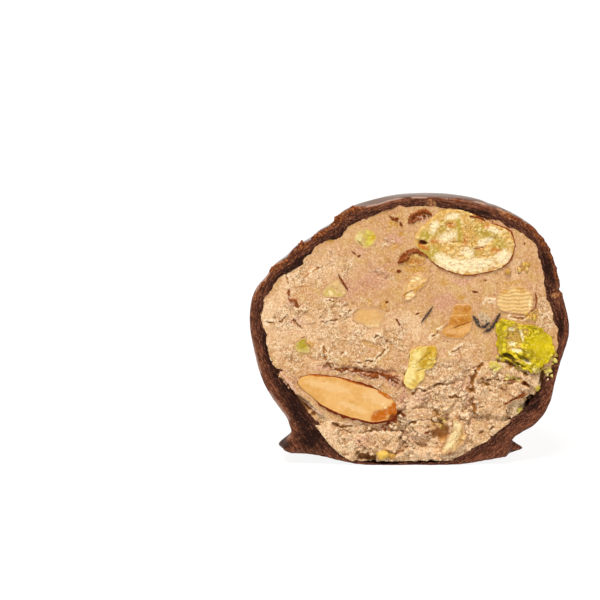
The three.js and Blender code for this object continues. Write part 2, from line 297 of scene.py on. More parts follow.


# Nut paste: matt and grainy, smeared by the knife above, crumbled below. Its creases get a painted
# shade of warm brown, the tops of its crumbs a pale painted highlight.
def nutPaste():
    material, tree, place = newMaterial("nutPaste")
    shifted = addNode(tree, "Mapping", {"Vector": place, "Location": (0.02, 0, 0.01)})
    drawn = addNode(tree, "Mapping", {"Vector": place, "Scale": (1, 1, 0.08)})
    patterns = []
    for where, size, detail, roughness in (
            (place, 2.4, 4, 0.6), (place, 1.3, 4, 0.6), (shifted, 1.6, 4, 0.6),
            (drawn, 0.34, 3, 0.6), (place, 0.34, 5, 0.72), (place, 0.2, 3, 0.8)):
        patterns.append(addNode(tree, "TexNoise", {
            "Vector": where, "Scale": perCell(size), "Detail": detail, "Roughness": roughness}))
    clouds, rosy, straw, streak, grit, specks = patterns
    rough = addNode(tree, "Attribute", output="Fac", attribute_name="roughShare")
    # how much the grit and the specks show, and how high the grit stands, on smeared and on rough paste
    gritDepth, speckDepth, gritRise = (
        addNode(tree, "MapRange", {"Value": rough, "To Min": smeared, "To Max": broken})
        for smeared, broken in ((0.35, 0.7), (0.34, 1), (0.35, 0.9)))
    colour = laidOver(
        tree, "#c48d53",
        (clouds, 0.4, 0.6, 1, "#cd9c68"),
        (rosy, 0.46, 0.6, 0.5, "#cb9576"),
        (straw, 0.5, 0.62, 0.5, "#cba354"),
        ("toneShare", 0, 1, 1, "#e8bd90"),  # dry, broken ground
        (streak, 0.52, 0.68, 0.3, "#e0b787"),  # the knife's streaks
        (streak, 0.46, 0.32, 0.22, "#b07c4c"),
        (grit, 0.53, 0.66, gritDepth, "#f0cfa2"),  # ground nuts
        (grit, 0.45, 0.33, gritDepth, "#b87d45"),
        # painted highlight on the tops of crumbs and on the lips of plates, slabs and cracks
        ("paintedHighlightShare", 0, 1, 1, "#fadfb8"),
        (*ragged(tree, "pinkShare", grit, 1.6, 0.4), 0.7, "#c98f74"),
        (*ragged(tree, "amberShare", grit, 1.6, 0.5), 0.8, "#c48c26"),
        (*ragged(tree, "greyShare", grit, 1.6, 0.4), 0.8, "#c2aa86"),
        (specks, 0.52, 0.59, speckDepth, "#ffe4bd"),  # sugar-fine grains
        (specks, 0.46, 0.39, speckDepth, "#a0672c"),
        # painted shade in the creases, cracks and hollows
        ("paintedShadeShare", 0, 1, 1, "#ad7236"),
        (*ragged(tree, "stainShare", grit, 1.6, 0.3), 1, "#74300c"),  # crumbs of skin
        # darker painted shade deep in the hollows and cracks
        ("deepShadeAndBrownShare", 0, 1, 1, "#4a220c"))
    fine = addNode(tree, "Bump", {"Height": specks, "Distance": 0.1 * mm, "Strength": speckDepth})
    gritty = addNode(tree, "Bump", {"Height": grit, "Distance": 0.14 * mm, "Strength": gritRise,
                                    "Normal": fine})
    return finished(material, tree, {
        "Base Color": colour, "Roughness": 0.62, "IOR": 1.45, "Specular IOR Level": 0.12, "Normal": gritty})


# Nut flesh: two tones in clouds, finer grain, a painted highlight on the tops of its crumbs and painted
# shade in its creases, with its skin round the edge and paste smeared over the rest of it.
def nutFlesh(name, look):
    material, tree, place = newMaterial(name)
    clouds = addNode(tree, "TexNoise", {"Vector": place, "Scale": perCell(look["cloud"]), "Detail": 4,
                                        "Roughness": 0.6})
    grain = addNode(tree, "TexNoise", {"Vector": place, "Scale": perCell(look["grain"]), "Detail": 5,
                                       "Roughness": 0.7})
    fleck = addNode(tree, "TexNoise", {"Vector": place, "Scale": perCell(look["fleck"]), "Detail": 3,
                                       "Roughness": 0.75})
    dusted = addNode(tree, "MapRange", {"Value": fleck, "From Min": 0.32, "From Max": 0.5})
    colour = laidOver(
        tree, look["flesh"],
        (clouds, 0.38, 0.62, 1, look["second"]),
        (*ragged(tree, "patchShare", grain, look["rag"], 0.4), 1, look["patch"]),
        (*ragged(tree, "amberShare", grain, look["rag"], 0.35), 1, look["amber"]),
        (grain, 0.52, 0.66, look["grainDepth"], look["light"]),
        (grain, 0.46, 0.32, look["grainDepth"], look["shade"]),
        # painted highlight on the tops of crumbs and ridges; painted shade in creases, troughs and on the
        # side wall
        ("paintedHighlightShare", 0, 1, 1, look["light"]),
        ("paintedShadeShare", 0, 1, 1, look["shade"]),
        (fleck, 0.57, 0.68, look["fleckDepth"], look["light"]),
        (fleck, 0.43, 0.32, look["fleckDepth"], look["shade"]),
        (*ragged(tree, "whiteShare", grain, 1, 0.5), dusted, look["white"]),
        # dark pits: painted shade, and in a few pits the brown of their skin
        (*ragged(tree, "deepShadeAndBrownShare", grain, 0.5, 0.3), 1, look["deep"]),
        (*ragged(tree, "smearShare", grain, 1.2, 0.3), 1, "#cfa070"),
        (*ragged(tree, "skinShare", grain, 0.5, 0.3), 1, look["skin"]))
    grainy = addNode(tree, "Bump", {"Height": grain, "Distance": look["bump"] * mm, "Strength": 0.7})
    return finished(material, tree, {
        "Base Color": colour, "Roughness": look["roughness"], "IOR": 1.47,
        "Specular IOR Level": look["sheen"], "Subsurface Weight": 0.1,
        "Subsurface Radius": (0.6, 0.4, 0.2), "Subsurface Scale": 1 * mm, "Normal": grainy})


chocolate = dippedChocolate()
cutEdge = cutChocolate()
paste = nutPaste()
print("materials made")


# The chocolate shell. Stations are [distance from the upright axis, height], from the middle of the
# base round to the crown, as in the frame.
shell = {
    "outerRight": [
        (0, 0), (5, 0), (9.2, 0), (11.6, 0.02), (12.3, 0.15), (12.7, 0.8), (12.95, 2.2), (14.1, 3.3),
        (16, 4.9), (17.75, 8.3), (18.5, 12.2), (19.95, 17.2), (19, 22.2), (17.5, 27.4), (14.9, 30.8),
        (9, 33.6), (3.5, 34.3), (0, 34.35)],
    "outerLeft": [
        (0, 0), (5, 0), (10.5, 0), (13.8, 0), (15.1, 0.1), (15.9, 0.75), (14.9, 2.7), (15.1, 4.4),
        (15.7, 6.3), (18.05, 10.1), (19.25, 13.7), (20.05, 18.6), (19.3, 22.6), (16.4, 26.3), (12, 29.8),
        (7.9, 32.9), (3, 34.05), (0, 34.35)],
    "innerRight": [
        (0, 0.3), (4, 0.3), (6.4, 1), (9.2, 2.6), (11.4, 4.6), (14, 6.8), (16.2, 9.6), (17.9, 13),
        (18.55, 16.6), (17.6, 20), (16.8, 23), (16.2, 26.4), (14.2, 29.6), (9, 31.9), (3.5, 33.1),
        (0, 33.1)],
    "innerLeft": [
        (0, 0.3), (4.5, 0.3), (8.3, 1.2), (10.2, 2.7), (11.8, 5.3), (13.3, 7.6), (15.3, 10.4),
        (17.2, 13.3), (18.2, 16.8), (18.45, 20), (17.2, 23), (14, 25.8), (10.6, 28.8), (7.1, 30.9),
        (2.5, 32.8), (0, 33.1)],
    "footStation": 5,
    "depthShare": 0.96,
    "middle": 16,  # height that the section's spokes run out from
    "spacing": 0.14,  # between spokes, along the outline
    "across": 12,  # facets from the inside to the outside
    "turns": 56,
    "crowding": 0.86,  # how much closer the turns lie beside the cut than behind it
    "lipDepth": 0.45,  # how far behind the cut its crumbling reaches
    "stepFade": 34,  # mm2, how the steps in its outline fade away behind it
    "weld": 0.004,  # points nearer to each other than this become one
}
foot = {
    "liftRight": 1.1, "liftLeft": 1.5, "liftFrom": 5, "liftTo": 14, "fadeFrom": 1.5, "fadeTo": 8,
    "power": 4, "waves": [(5, 0.6, 0.4), (11, 2, 0.3), (19, 0.4, 0.2)], "reach": 1.4, "growFrom": 0.02,
    "growTo": 0.14, "fall": 3,
    "tipDepth": 2.6, "tipHeight": 5, "tipFrom": 12.8,  # the part of it that the knife dulled
}
domeSwells = [  # turn, height, size, rise
    (38, 24, 6, 0.55), (75, 14, 7, 0.4), (100, 27, 6, -0.5), (128, 19, 6, 0.6), (155, 10, 5, -0.35),
              (162, 27, 8, -0.45)]


# Places along the outer and inner outlines that face each other, evenly spaced along the outer one.
def spokePlaces():
    def meanLine(right, left):
        return [((a[0] + b[0]) / 2, (a[1] + b[1]) / 2) for a, b in zip(right, left)]

    def angled(stations):
        places = [k / stationSteps for k in range((len(stations) - 1) * stationSteps + 1)]
        line = [(place, splineAt(stations, place)) for place in places]
        return [(place, p, math.atan2(p.y - shell["middle"], max(p.x, 0))) for place, p in line]

    outer = angled(meanLine(shell["outerRight"], shell["outerLeft"]))
    inner = angled(meanLine(shell["innerRight"], shell["innerLeft"]))
    lengths = [0.0]
    for k in range(1, len(outer)):
        lengths.append(lengths[-1] + (outer[k][1] - outer[k - 1][1]).length)
    count = round(lengths[-1] / shell["spacing"])
    places, o, i = [], 0, 0
    for k in range(count + 1):
        goal = lengths[-1] * k / count
        while o < len(lengths) - 2 and lengths[o + 1] < goal:
            o += 1
        t = (goal - lengths[o]) / (lengths[o + 1] - lengths[o])
        angle = blend(outer[o][2], outer[o + 1][2], t)
        while i < len(inner) - 2 and inner[i + 1][2] < angle:
            i += 1
        step = inner[i + 1][2] - inner[i][2]
        u = clamp((angle - inner[i][2]) / step) if step > 1e-9 else 0.0
        places.append((blend(outer[o][0], outer[o + 1][0], t), blend(inner[i][0], inner[i + 1][0], u)))
    return places


def liftAt(turn, rightShare, radius, height):
    return (blend(foot["liftLeft"], foot["liftRight"], rightShare) * math.cos(turn) ** foot["power"]
            * smooth(radius, foot["liftFrom"], foot["liftTo"])
            * (1 - smooth(height, foot["fadeFrom"], foot["fadeTo"])))


def raggedReach(turn):
    reached = foot["reach"] + sum(r * math.sin(n * turn + phase) for n, phase, r in foot["waves"])
    reached += 0.35 * noise.noise(Vector((turn * 14, 7, 0))) + 0.2 * noise.noise(Vector((turn * 40, 3, 0)))
    grown = smooth(abs(math.sin(turn)), foot["growFrom"], foot["growTo"])
    return grown * reached * blend(0.5, 1, smooth(math.cos(turn), -0.98, -0.5))


def domeSwell(turn, height, radius):
    grown = smooth(abs(math.sin(turn)), 0, 0.4)
    total = 0.0
    for place, high, size, rise in domeSwells:
        across = (turn - math.radians(place)) * radius / size
        up = (height - high) / size
        total += grown * rise * math.exp(-across * across - up * up)
    return total


# Where the cut edge broke into crumbs, where nearly black shade is painted on it, where its corner
# catches the light, and where paste or pale crumbs stick to it.
brokenEdge = [(-16.6, 25.7, 1.2, 0.7, 30), (-13.6, 28.4, 0.8, 0.8, 45), (-11.2, 29.7, 1.6, 0.5, 35),
              (-9, 31.9, 1.3, 0.9, 35), (-6.9, 32.9, 1, 0.5, 15), (2.5, 33.4, 0.5, 0.8, 0),
              (12.3, 32.1, 2, 0.7, -25), (14.9, 30.6, 1.6, 0.9, -45), (16.6, 28.9, 1, 1.5, 25),
              (17.3, 27.2, 0.6, 1.3, 15), (18.3, 24.6, 0.4, 1, 10), (18.1, 22, 0.8, 0.7, 0),
              (-18.9, 23, 0.5, 1.6, -30), (-4, 32.9, 0.8, 0.6, 10)]
shadedEdge = [(-15.6, 2.7, 0.9, 0.5, 15), (-14, 6.8, 0.9, 6.4, 27), (-12.4, 3.4, 1.6, 1.6, 0),
            (-17.3, 14, 0.6, 4.2, 16), (-12.6, 26.9, 6, 0.5, 36), (17.2, 25.4, 0.6, 2.2, 14),
            (7.4, 32.6, 3, 0.3, -8), (18.9, 18.5, 0.4, 1.8, 0), (15.6, 8.2, 0.7, 1.3, -30)]
litEdge = [(-17.4, 10.4, 2.2, 7, 24), (1, 34, 9, 0.9, 0), (-5, 33.4, 4, 0.9, 12),
           (9, 33.4, 4, 0.8, -18), (-18, 24.4, 2.6, 1.6, 50), (19, 10.4, 0.7, 2.4, -20)]
paleEdge = [(18.1, 21.9, 0.5, 0.3, 0), (2.6, 33.5, 0.5, 0.5, 0), (11.9, 32.3, 1.1, 0.35, -25),
            (-8.6, 32.3, 0.9, 0.25, 35), (-13.5, 28.7, 0.3, 0.6, 0), (-16.9, 25.6, 0.6, 0.3, 30),
            (-6.9, 33.3, 0.9, 0.14, 15), (-12, 29.6, 0.5, 0.25, 35)]
# [x, z, size, push outwards] of the steps in the outline of the cut
edgeSteps = [(-10.2, 31.2, 1.6, -0.55), (-12.8, 29.1, 1.2, -0.45), (-16, 27, 1.2, -0.4),
             (-18.5, 24.2, 1.2, -0.3), (-5, 33.7, 2.6, -0.42), (14.5, 31.5, 0.35, -0.25),
             (16.3, 29.8, 0.35, -0.2), (10, 33.2, 0.6, -0.15), (18.9, 22.6, 0.3, -0.3),
             (19.6, 12, 1.6, 0.25)]
# [x, z, size, push] of the places where the shell bulges into the filling
innerSteps = [(-13.6, 26, 0.8, 0.25), (-9.1, 29.6, 1, 0.8), (9, 31.2, 1.4, 0.3), (16.6, 21.5, 0.6, 0.35),
              (-17.8, 17, 1.2, 0.3), (14.2, 5.4, 1.4, 0.3)]
cutDepth = 0.15  # how far behind the cut its dull finish reaches


def stepsAt(steps, x, z):
    return sum(push * math.exp(-((x - sx)**2 + (z - sz)**2) / size**2) for sx, sz, size, push in steps
               if abs(x - sx) < 2.5 * size and abs(z - sz) < 2.5 * size)


# The shell's profile at each turn, from the right end of the cut round the back to the left end.
def shellSections(places, turns):
    sections = []
    for step in range(turns + 1):
        even = math.pi * step / turns
        turn = even - shell["crowding"] * math.sin(2 * even) / 2
        rightShare = (1 + math.cos(turn)) / 2
        profile = {}
        for side in ("outer", "inner"):
            pair = zip(shell[side + "Left"], shell[side + "Right"])
            profile[side] = [Vector(left).lerp(Vector(right), rightShare) for left, right in pair]
        rows = []
        for outerPlace, innerPlace in places:
            outer = splineAt(profile["outer"], outerPlace)
            fromTip = outerPlace - shell["footStation"]
            if outer.x > 0:
                outer.x += raggedReach(turn) * math.exp(-foot["fall"] * fromTip**2)
                outer.x += domeSwell(turn, outer.y, outer.x)
            rows.append((splineAt(profile["inner"], innerPlace), outer))
        sections.append((turn, rightShare, rows))
    return sections


def makeShell():
    places = spokePlaces()
    along, across, turns = len(places) - 1, shell["across"], shell["turns"]
    bm = bmesh.new()
    bmesh.ops.create_grid(bm, x_segments=along, y_segments=across, size=1)
    alongLayer = bm.verts.layers.int.new("along")
    acrossLayer = bm.verts.layers.int.new("across")
    for v in bm.verts:
        v[alongLayer] = round((v.co.x + 1) / 2 * along)
        v[acrossLayer] = round((v.co.y + 1) / 2 * across)
        v.co = (1 + v.co.y / 2 if 0 < v[alongLayer] < along else 0, cutY, v[alongLayer] / along)
    bmesh.ops.spin(bm, geom=bm.verts[:] + bm.edges[:] + bm.faces[:], cent=(0, cutY, 0), axis=(0, 0, 1),
                   angle=math.pi, steps=turns)
    sections = shellSections(places, turns)
    layers = {name: bm.verts.layers.float.new(name) for name in (
        "crumbledShare", "rimShadeShare", "edgeShare", "outerShare", "paleShare")}
    rimLayer = bm.verts.layers.float_vector.new("rimPlace")
    behindCut = {}
    for v in bm.verts:
        even = math.atan2(abs(v.co.y - cutY), v.co.x)
        turn, rightShare, rows = sections[clamp(round(even / math.pi * turns), 0, turns)]
        k, share = v[alongLayer], v[acrossLayer] / across
        inner, outer = rows[k]
        point = inner.lerp(outer, share)
        radius = max(point.x, 0) if 0 < k < along else 0.0
        x, behind = radius * math.cos(turn), radius * math.sin(turn) * shell["depthShare"]
        z = point.y + liftAt(turn, rightShare, radius, point.y)
        behindCut[v] = behind
        # the knife's crumbling, which dies away behind the cut
        lip = math.exp(-behind / shell["lipDepth"])
        broken = most(brokenEdge, x, z, soft=0.5) * lip
        edge = smooth(share, 0.7, 1)
        spread = Vector((x, z - shell["middle"])).normalized()
        fine = lumps(x, z, 0.28, 5.0, behind)
        push = edge * ((0.04 + 0.12 * broken) * lip * lumps(x, z, 0.8, 2.0, behind) + 0.16 * broken * fine)
        push += share * math.exp(-behind * behind / shell["stepFade"]) * stepsAt(edgeSteps, x, z)
        lumpy = 0.26 * lumps(x, z, 1.3, 8.0) + 0.16 * lumps(x, z, 0.5, 3.0)
        push += lip * (1 - smooth(share, 0, 0.35)) * lumpy
        push -= (1 - share) * lip * stepsAt(innerSteps, x, z)
        push += 0.05 * lumps(x, z, 5, 1.0, behind) * edge * (1 - lip)
        x, z = x + spread.x * push, z + spread.y * push
        rimway = k * shell["spacing"] * (1 if turn < math.pi / 2 else -1)
        thick = (outer - inner).length * share
        layered = noise.noise(Vector((rimway / 1.8, thick / 0.3, 4.0)))
        layered += 0.5 * noise.noise(Vector((rimway / 0.5, thick / 0.22 + rimway, 9.0)))
        crumb = crumbs(x, z, 0.6, 6.0) if lip > 0.1 else 0.5
        crust = broken * smooth(share, 0.3, 0.8)
        relief = lip * (0.08 * lumps(x, z, 2.2, 4.0) + 0.11 * layered) + 0.35 * crust * (0.5 - crumb)
        rounding = 0.24 * lip * (smooth(share, 0.86, 1) + 0.5 * (1 - smooth(share, 0, 0.12)))
        v.co = (x, cutY + behind + relief + rounding, z)
        # painted shade: the parts of the cut that lie in shade, and the creases between the crumbs of its
        # crust
        inShade = most(shadedEdge, x, z, soft=0.5) * (1 - smooth(share, 0.7, 0.92) * smooth(z, 3, 4))
        v[layers["rimShadeShare"]] = clamp(inShade + 0.8 * crust * (1 - smooth(crumb, 0.15, 0.35)))
        v[layers["crumbledShare"]] = clamp(0.95 * crust * smooth(crumb, 0.2, 0.55))
        v[layers["outerShare"]] = smooth(share + 0.25 * lumps(x, z, 0.9, 10.0), 0.3, 0.75)
        v[layers["paleShare"]] = most(paleEdge, x, z, soft=0.4, wander=0.6) * lip
        lit = most(litEdge, x, z, soft=0.4) * lip
        lit *= smooth(share, 0.86, 0.96) * smooth(lumps(x, z, 1.6, 12.0), -0.35, 0.1)
        v[layers["edgeShare"]] = 0.8 * lit
        v[rimLayer] = (rimway * mm, thick * mm, behind * mm)
    for face in bm.faces:
        farthest = max(behindCut[v] for v in face.verts)
        x, y, z = face.calc_center_median()
        dulled = foot["tipDepth"] * (1 - smooth(z, 0.8 * foot["tipHeight"], foot["tipHeight"]))
        dulled += lumps(x, z, 0.6, 2.0, y)
        tip = abs(x) > foot["tipFrom"] and z < foot["tipHeight"] and farthest < dulled
        face.material_index = 1 if farthest < cutDepth or tip else 0
    bmesh.ops.remove_doubles(bm, verts=bm.verts, dist=shell["weld"])
    bmesh.ops.recalc_face_normals(bm, faces=bm.faces)
    makePiece("chocolateShell", bm, [chocolate, cutEdge], ["chocolate_shell"])


makeShell()


# Kernels and chips, each laid open by the cut. An outline is its edge on the cut face, [x, z], inside
# its skin; spots are [x, z, half width, half height, tilt], and pits have a depth and a darkness too,
# the darkness being painted shade and, for a few pits, the brown of their skin.
nutLook = {"light": "#f0d096", "cloud": 1.3, "grain": 0.32, "grainDepth": 0.6, "rag": 0.9, "bump": 0.06,
           "fleck": 0.18, "fleckDepth": 0.35, "roughness": 0.5, "sheen": 0.14}
hazelnut = {
    "node": "hazelnut", "slot": "hazelnut_flesh", "around": 260, "rings": 76, "deep": 4.6, "proud": 0.1,
    "outline": [(0.5, 28.6), (0.9, 30), (2.15, 31.3), (3.4, 32.35), (4.9, 32.85), (6.75, 32.7),
                (8.4, 31.9), (9.4, 31.3), (11.8, 30.4), (12.6, 29.6), (12.95, 28.2), (12.5, 26.7),
                (11.4, 25.5), (9.4, 24.85), (6.9, 24.6), (4.6, 25.1), (2.75, 26.3), (1.15, 27.5)],
    "skins": [(-155, 40, 0.2), (62, 80, 0.16)],
    "patches": [(2.7, 27.3, 1.7, 1.0, -35), (6, 30.3, 0.5, 1.7, 5), (4, 30.4, 1.3, 0.8, 40),
                (9.5, 29.9, 1.5, 0.9, -20), (7.7, 27.4, 0.8, 0.8, 0), (11.2, 28.2, 0.8, 1.2, 20),
                (2, 29.4, 0.9, 0.9, 0)],
    "whites": [(4.6, 29.4, 1.1, 0.7, 15), (3, 30.6, 0.5, 0.8, -20), (5.2, 31.9, 0.9, 0.4, 10),
               (7.2, 25.8, 3.8, 0.9, 3), (11.5, 26.7, 0.8, 1.1, -30), (9.2, 28.7, 0.9, 0.4, 20),
               (10.6, 30.2, 1, 0.3, -15), (4.2, 26.5, 1.1, 0.7, -25), (7.2, 27.4, 0.8, 0.6, 0)],
    "ambers": [(5.1, 30.9, 0.7, 0.35, 0), (1.7, 28.1, 0.7, 0.35, -30), (8.5, 28, 0.7, 0.35, 20),
               (10.9, 27.6, 0.7, 0.4, 0), (8.9, 31.5, 1, 0.3, -25), (10.4, 25.4, 1.1, 0.2, 25),
               (6.9, 29, 0.3, 0.9, 0), (3.2, 28.8, 0.9, 0.25, 10), (9.6, 30.6, 0.5, 0.3, 0)],
    "pits": [(1.6, 28.6, 0.55, 0.32, -10, 0.5, 0.9), (5.7, 28.7, 0.6, 0.14, 0, 0.15, 0),
             (8.5, 27.9, 0.5, 0.14, 8, 0.15, 0), (5, 31, 0.35, 0.2, 0, 0.15, 0),
             (7.2, 30.1, 0.3, 0.8, 10, 0.15, 0), (10.2, 28.9, 0.8, 0.3, 30, 0.15, 0)],
    "smooth": [(2.7, 27.3, 1.7, 0.9, -35), (6, 30.1, 0.5, 1.6, 5), (1.8, 29.6, 0.8, 0.8, 0)],
    "rough": 0.2, "lump": 0.55, "jagged": 0.008,
    "look": {**nutLook, "flesh": "#d0a04c", "second": "#deb365", "light": "#efd091", "patch": "#b79c38",
             "amber": "#bf6c0a", "white": "#fbe5b8", "shade": "#b67c28", "deep": "#642406",
             "skin": "#8c3a10", "rag": 1.6, "cloud": 0.9, "grain": 0.42, "grainDepth": 0.85, "bump": 0.11,
             "fleckDepth": 0.8},
}
almond = {
    "node": "almond", "slot": "almond_flesh", "around": 240, "rings": 60, "deep": 3.6, "proud": 0.08,
    "outline": [(-14, 10.7), (-13.6, 11.3), (-12.5, 11.65), (-11.1, 11.65), (-8.6, 11.25), (-6.75, 10.7),
                (-4.5, 9.95), (-2.95, 9.25), (-2.1, 8.5), (-1.6, 7.6), (-1.6, 6.8), (-2.1, 6.15),
                (-3, 5.85), (-4.3, 5.65), (-5.6, 5.85), (-8.6, 6.7), (-10.9, 7.85), (-12.7, 9.2),
                (-13.65, 10.1)],
    "skins": [(-180, 180, 0.1), (185, 345, 0.26), (10, 75, 0.14)],
    "patches": [(-4, 8.7, 1.8, 0.8, -20), (-10, 10.2, 3, 0.5, -12), (-7, 7.5, 2, 0.4, -18)],
    "whites": [(-3.4, 8, 0.26, 0.16, 0), (-3, 7.5, 0.2, 0.14, 20)],
    "ambers": [(-3.6, 6.5, 1.1, 0.7, 25), (-2.2, 7.1, 0.8, 0.75, 20), (-1.8, 7.7, 0.5, 0.5, 0),
               (-11, 11.6, 2.4, 0.14, -3), (-6.8, 10.7, 2.4, 0.14, -17), (-3, 9.2, 1.2, 0.34, -32)],
    "pits": [(-2.1, 6.2, 0.6, 0.4, 20, 0.05, 0.75), (-3.6, 6.8, 0.7, 0.3, 10, 0.06, 0)],
    "rough": 0.03, "lump": 1.5, "jagged": 0.006,
    "look": {**nutLook, "flesh": "#d89f54", "second": "#e3af69", "light": "#ecc083", "patch": "#e6b87a",
             "amber": "#b85c00", "white": "#efcf98", "shade": "#cb8c42", "deep": "#7d3b12",
             "skin": "#702507", "cloud": 2.4, "grain": 0.5, "grainDepth": 0.2, "rag": 1.1, "bump": 0.03,
             "fleckDepth": 0.16, "sheen": 0.07, "roughness": 0.42},
}
greenLook = {**nutLook, "light": "#eee08a", "white": "#f6e6a8", "shade": "#a48620", "deep": "#4a3a08",
             "skin": "#9a7a1c", "amber": "#cf9f1c", "grainDepth": 0.45, "bump": 0.05, "roughness": 0.42}
pistachioRight = {
    "node": "pistachio_right", "slot": "pistachio_flesh", "around": 240, "rings": 70, "deep": 3.6,
    "proud": 0.3,
    "outline": [(10.8, 18.1), (10.9, 16.6), (11, 14.9), (11.65, 14), (12.5, 13.6), (13.7, 12.8),
                (15.5, 12.1), (16.45, 12.6), (17.5, 13.5), (18.1, 14.5), (18, 15.9), (17.2, 17.1),
                (15.8, 18), (14.1, 18.2), (12.6, 18.7), (11.55, 18.8)],
    "patches": [(13.1, 16.9, 1.2, 1.5, -10), (13.5, 15.1, 1.3, 0.6, -20), (14.2, 17.4, 0.8, 0.4, -10),
                (13.2, 13.6, 1, 0.3, -25), (14.6, 13.5, 0.5, 0.2, -25)],
    "whites": [(14, 16.9, 0.2, 0.8, 15), (12.9, 15.7, 0.4, 0.25, 0), (12.7, 17.6, 0.4, 0.2, 0),
               (13.4, 14.9, 0.6, 0.2, -10), (14.8, 13.4, 0.5, 0.16, -25)],
    "ambers": [(11.3, 16.3, 0.4, 2, 0), (11.8, 18.3, 0.6, 0.3, 0), (12, 14.3, 0.5, 0.4, -20),
               (14.9, 14.3, 1.3, 0.7, -25), (15.7, 17.6, 1.2, 0.5, -25), (15.6, 12.7, 0.6, 0.5, 0)],
    "pits": [(13, 16.3, 1.1, 1.5, -10, 0.3, 0), (12.5, 14, 1, 0.3, -25, 0.5, 0.7),
             (14.3, 13.8, 1, 0.24, -30, 0.4, 0.55), (13.6, 13.1, 0.9, 0.2, -25, 0.4, 0.6),
             (15.2, 16.4, 0.12, 1, 30, 0.15, 0.15)],
    "smooth": [(16.4, 15.5, 1.5, 1.7, -20), (11.3, 16.4, 0.4, 1.9, 0)],
    "rough": 0.24, "lump": 0.65, "jagged": 0.04,
    "look": {**greenLook, "flesh": "#bea502", "second": "#dbc104", "light": "#e2cc30", "patch": "#c8994e",
             "white": "#fae8b8", "shade": "#8a7408", "deep": "#3c2e06", "amber": "#a68c02", "cloud": 2,
             "grain": 0.36, "grainDepth": 0.4, "roughness": 0.48, "sheen": 0.09},
}
pistachioCentre = {
    "node": "pistachio_centre", "slot": "pistachio_flesh", "around": 150, "rings": 46, "deep": 2,
    "proud": 0.18,
    "outline": [(0, 14.6), (0.7, 15.1), (1.6, 15.4), (2.4, 15.35), (3.3, 15.3), (3.35, 14), (2.9, 12.7),
                (2, 12.3), (1.9, 11.5), (1.4, 10.8), (0.35, 9.95), (-0.65, 10.5), (-0.8, 11.1),
                (-0.4, 12.2), (-0.1, 13.3)],
    "patches": [(2.6, 14.4, 0.9, 1.1, -20), (1.9, 13.2, 0.9, 0.6, -10)],
    "whites": [(0.2, 12, 0.6, 1.6, -20), (0.9, 14.2, 0.4, 0.5, 0)], "ambers": [(3, 14.7, 0.35, 0.6, 0)],
    "pits": [(1.9, 14, 1.3, 0.07, 40, 0.12, 0.3), (1.5, 12.4, 0.9, 0.08, 20, 0.12, 0.3)],
    "rough": 0.16, "lump": 0.8, "jagged": 0.06,
    "look": {**greenLook, "flesh": "#d9b154", "second": "#e3c26a", "patch": "#bf9200", "white": "#f2da90",
             "grainDepth": 0.3, "shade": "#b8862a"},
}
pistachioTop = {
    "node": "pistachio_top", "slot": "pistachio_flesh", "around": 110, "rings": 30, "deep": 1.7,
    "proud": -0.06,
    "outline": [(-7.2, 29.5), (-6.6, 30.35), (-5.4, 30.6), (-4.25, 30.1), (-4.1, 28.8), (-4.9, 27.8),
                (-5.5, 27.6), (-6.5, 28.2), (-7.1, 28.7)],
    "patches": [(-4.9, 29.2, 0.7, 1.4, -15)], "whites": [(-6.4, 29.2, 0.4, 0.4, 0)],
    "ambers": [(-4.7, 29.3, 0.25, 0.5, -15)], "pits": [(-6.2, 28.4, 0.6, 0.1, -50, 0.15, 0.4)],
    "rough": 0.12, "lump": 0.8, "jagged": 0.06, "smear": 0.45,
    "look": {**greenLook, "flesh": "#cdab68", "second": "#d6b777", "patch": "#cdb636", "white": "#e8d292"},
}
pistachioLeft = {
    "node": "pistachio_left", "slot": "pistachio_flesh", "around": 90, "rings": 26, "deep": 1.4,
    "proud": -0.04,
    "outline": [(-12.9, 16.6), (-13.5, 16.4), (-14.3, 15.8), (-14.6, 15.3), (-13.9, 14.6), (-12.7, 14.35),
                (-12.4, 15.15), (-13.1, 15.8)],
    "patches": [(-13.3, 15.7, 0.8, 0.6, 30)],
    "rough": 0.12, "lump": 0.8, "jagged": 0.06, "smear": 0.3,
    "look": {**greenLook, "flesh": "#c2a65a", "second": "#cdb46c", "patch": "#ae961e"},
}
chipLook = {**nutLook, "light": "#eecb8c", "white": "#f2d8a2", "shade": "#a87236", "deep": "#6e3a16",
            "skin": "#76351a", "amber": "#bd7a2a", "patch": "#c5873f", "grainDepth": 0.5, "bump": 0.05}
ridgedChip = {
    "node": "ridged_chip", "slot": "nut_chip", "around": 160, "rings": 50, "deep": 2, "proud": 0.03,
    "outline": [(10.9, 22), (11.3, 22.6), (12.25, 22.9), (13.4, 23.15), (14.5, 22.75), (15.3, 22),
                (15.5, 21.4), (15.3, 20.1), (14.5, 19.5), (13, 19.6), (11.5, 19.85), (10.8, 20.65)],
    "whites": [(15, 20.6, 0.16, 0.5, 0)],
    "ambers": [(13.9, 22.6, 0.55, 0.4, -20), (11.6, 22.3, 0.8, 0.3, 20)],
    "rough": 0.1, "lump": 1, "jagged": 0.03, "smear": 0.16,
    "ridges": {"pitch": 0.48, "depth": 0.032, "wander": 0.07, "length": 1.9},
    "look": {**chipLook, "flesh": "#dbb06c", "second": "#e2bb7c", "shade": "#bd8a48", "amber": "#cf994c"},
}
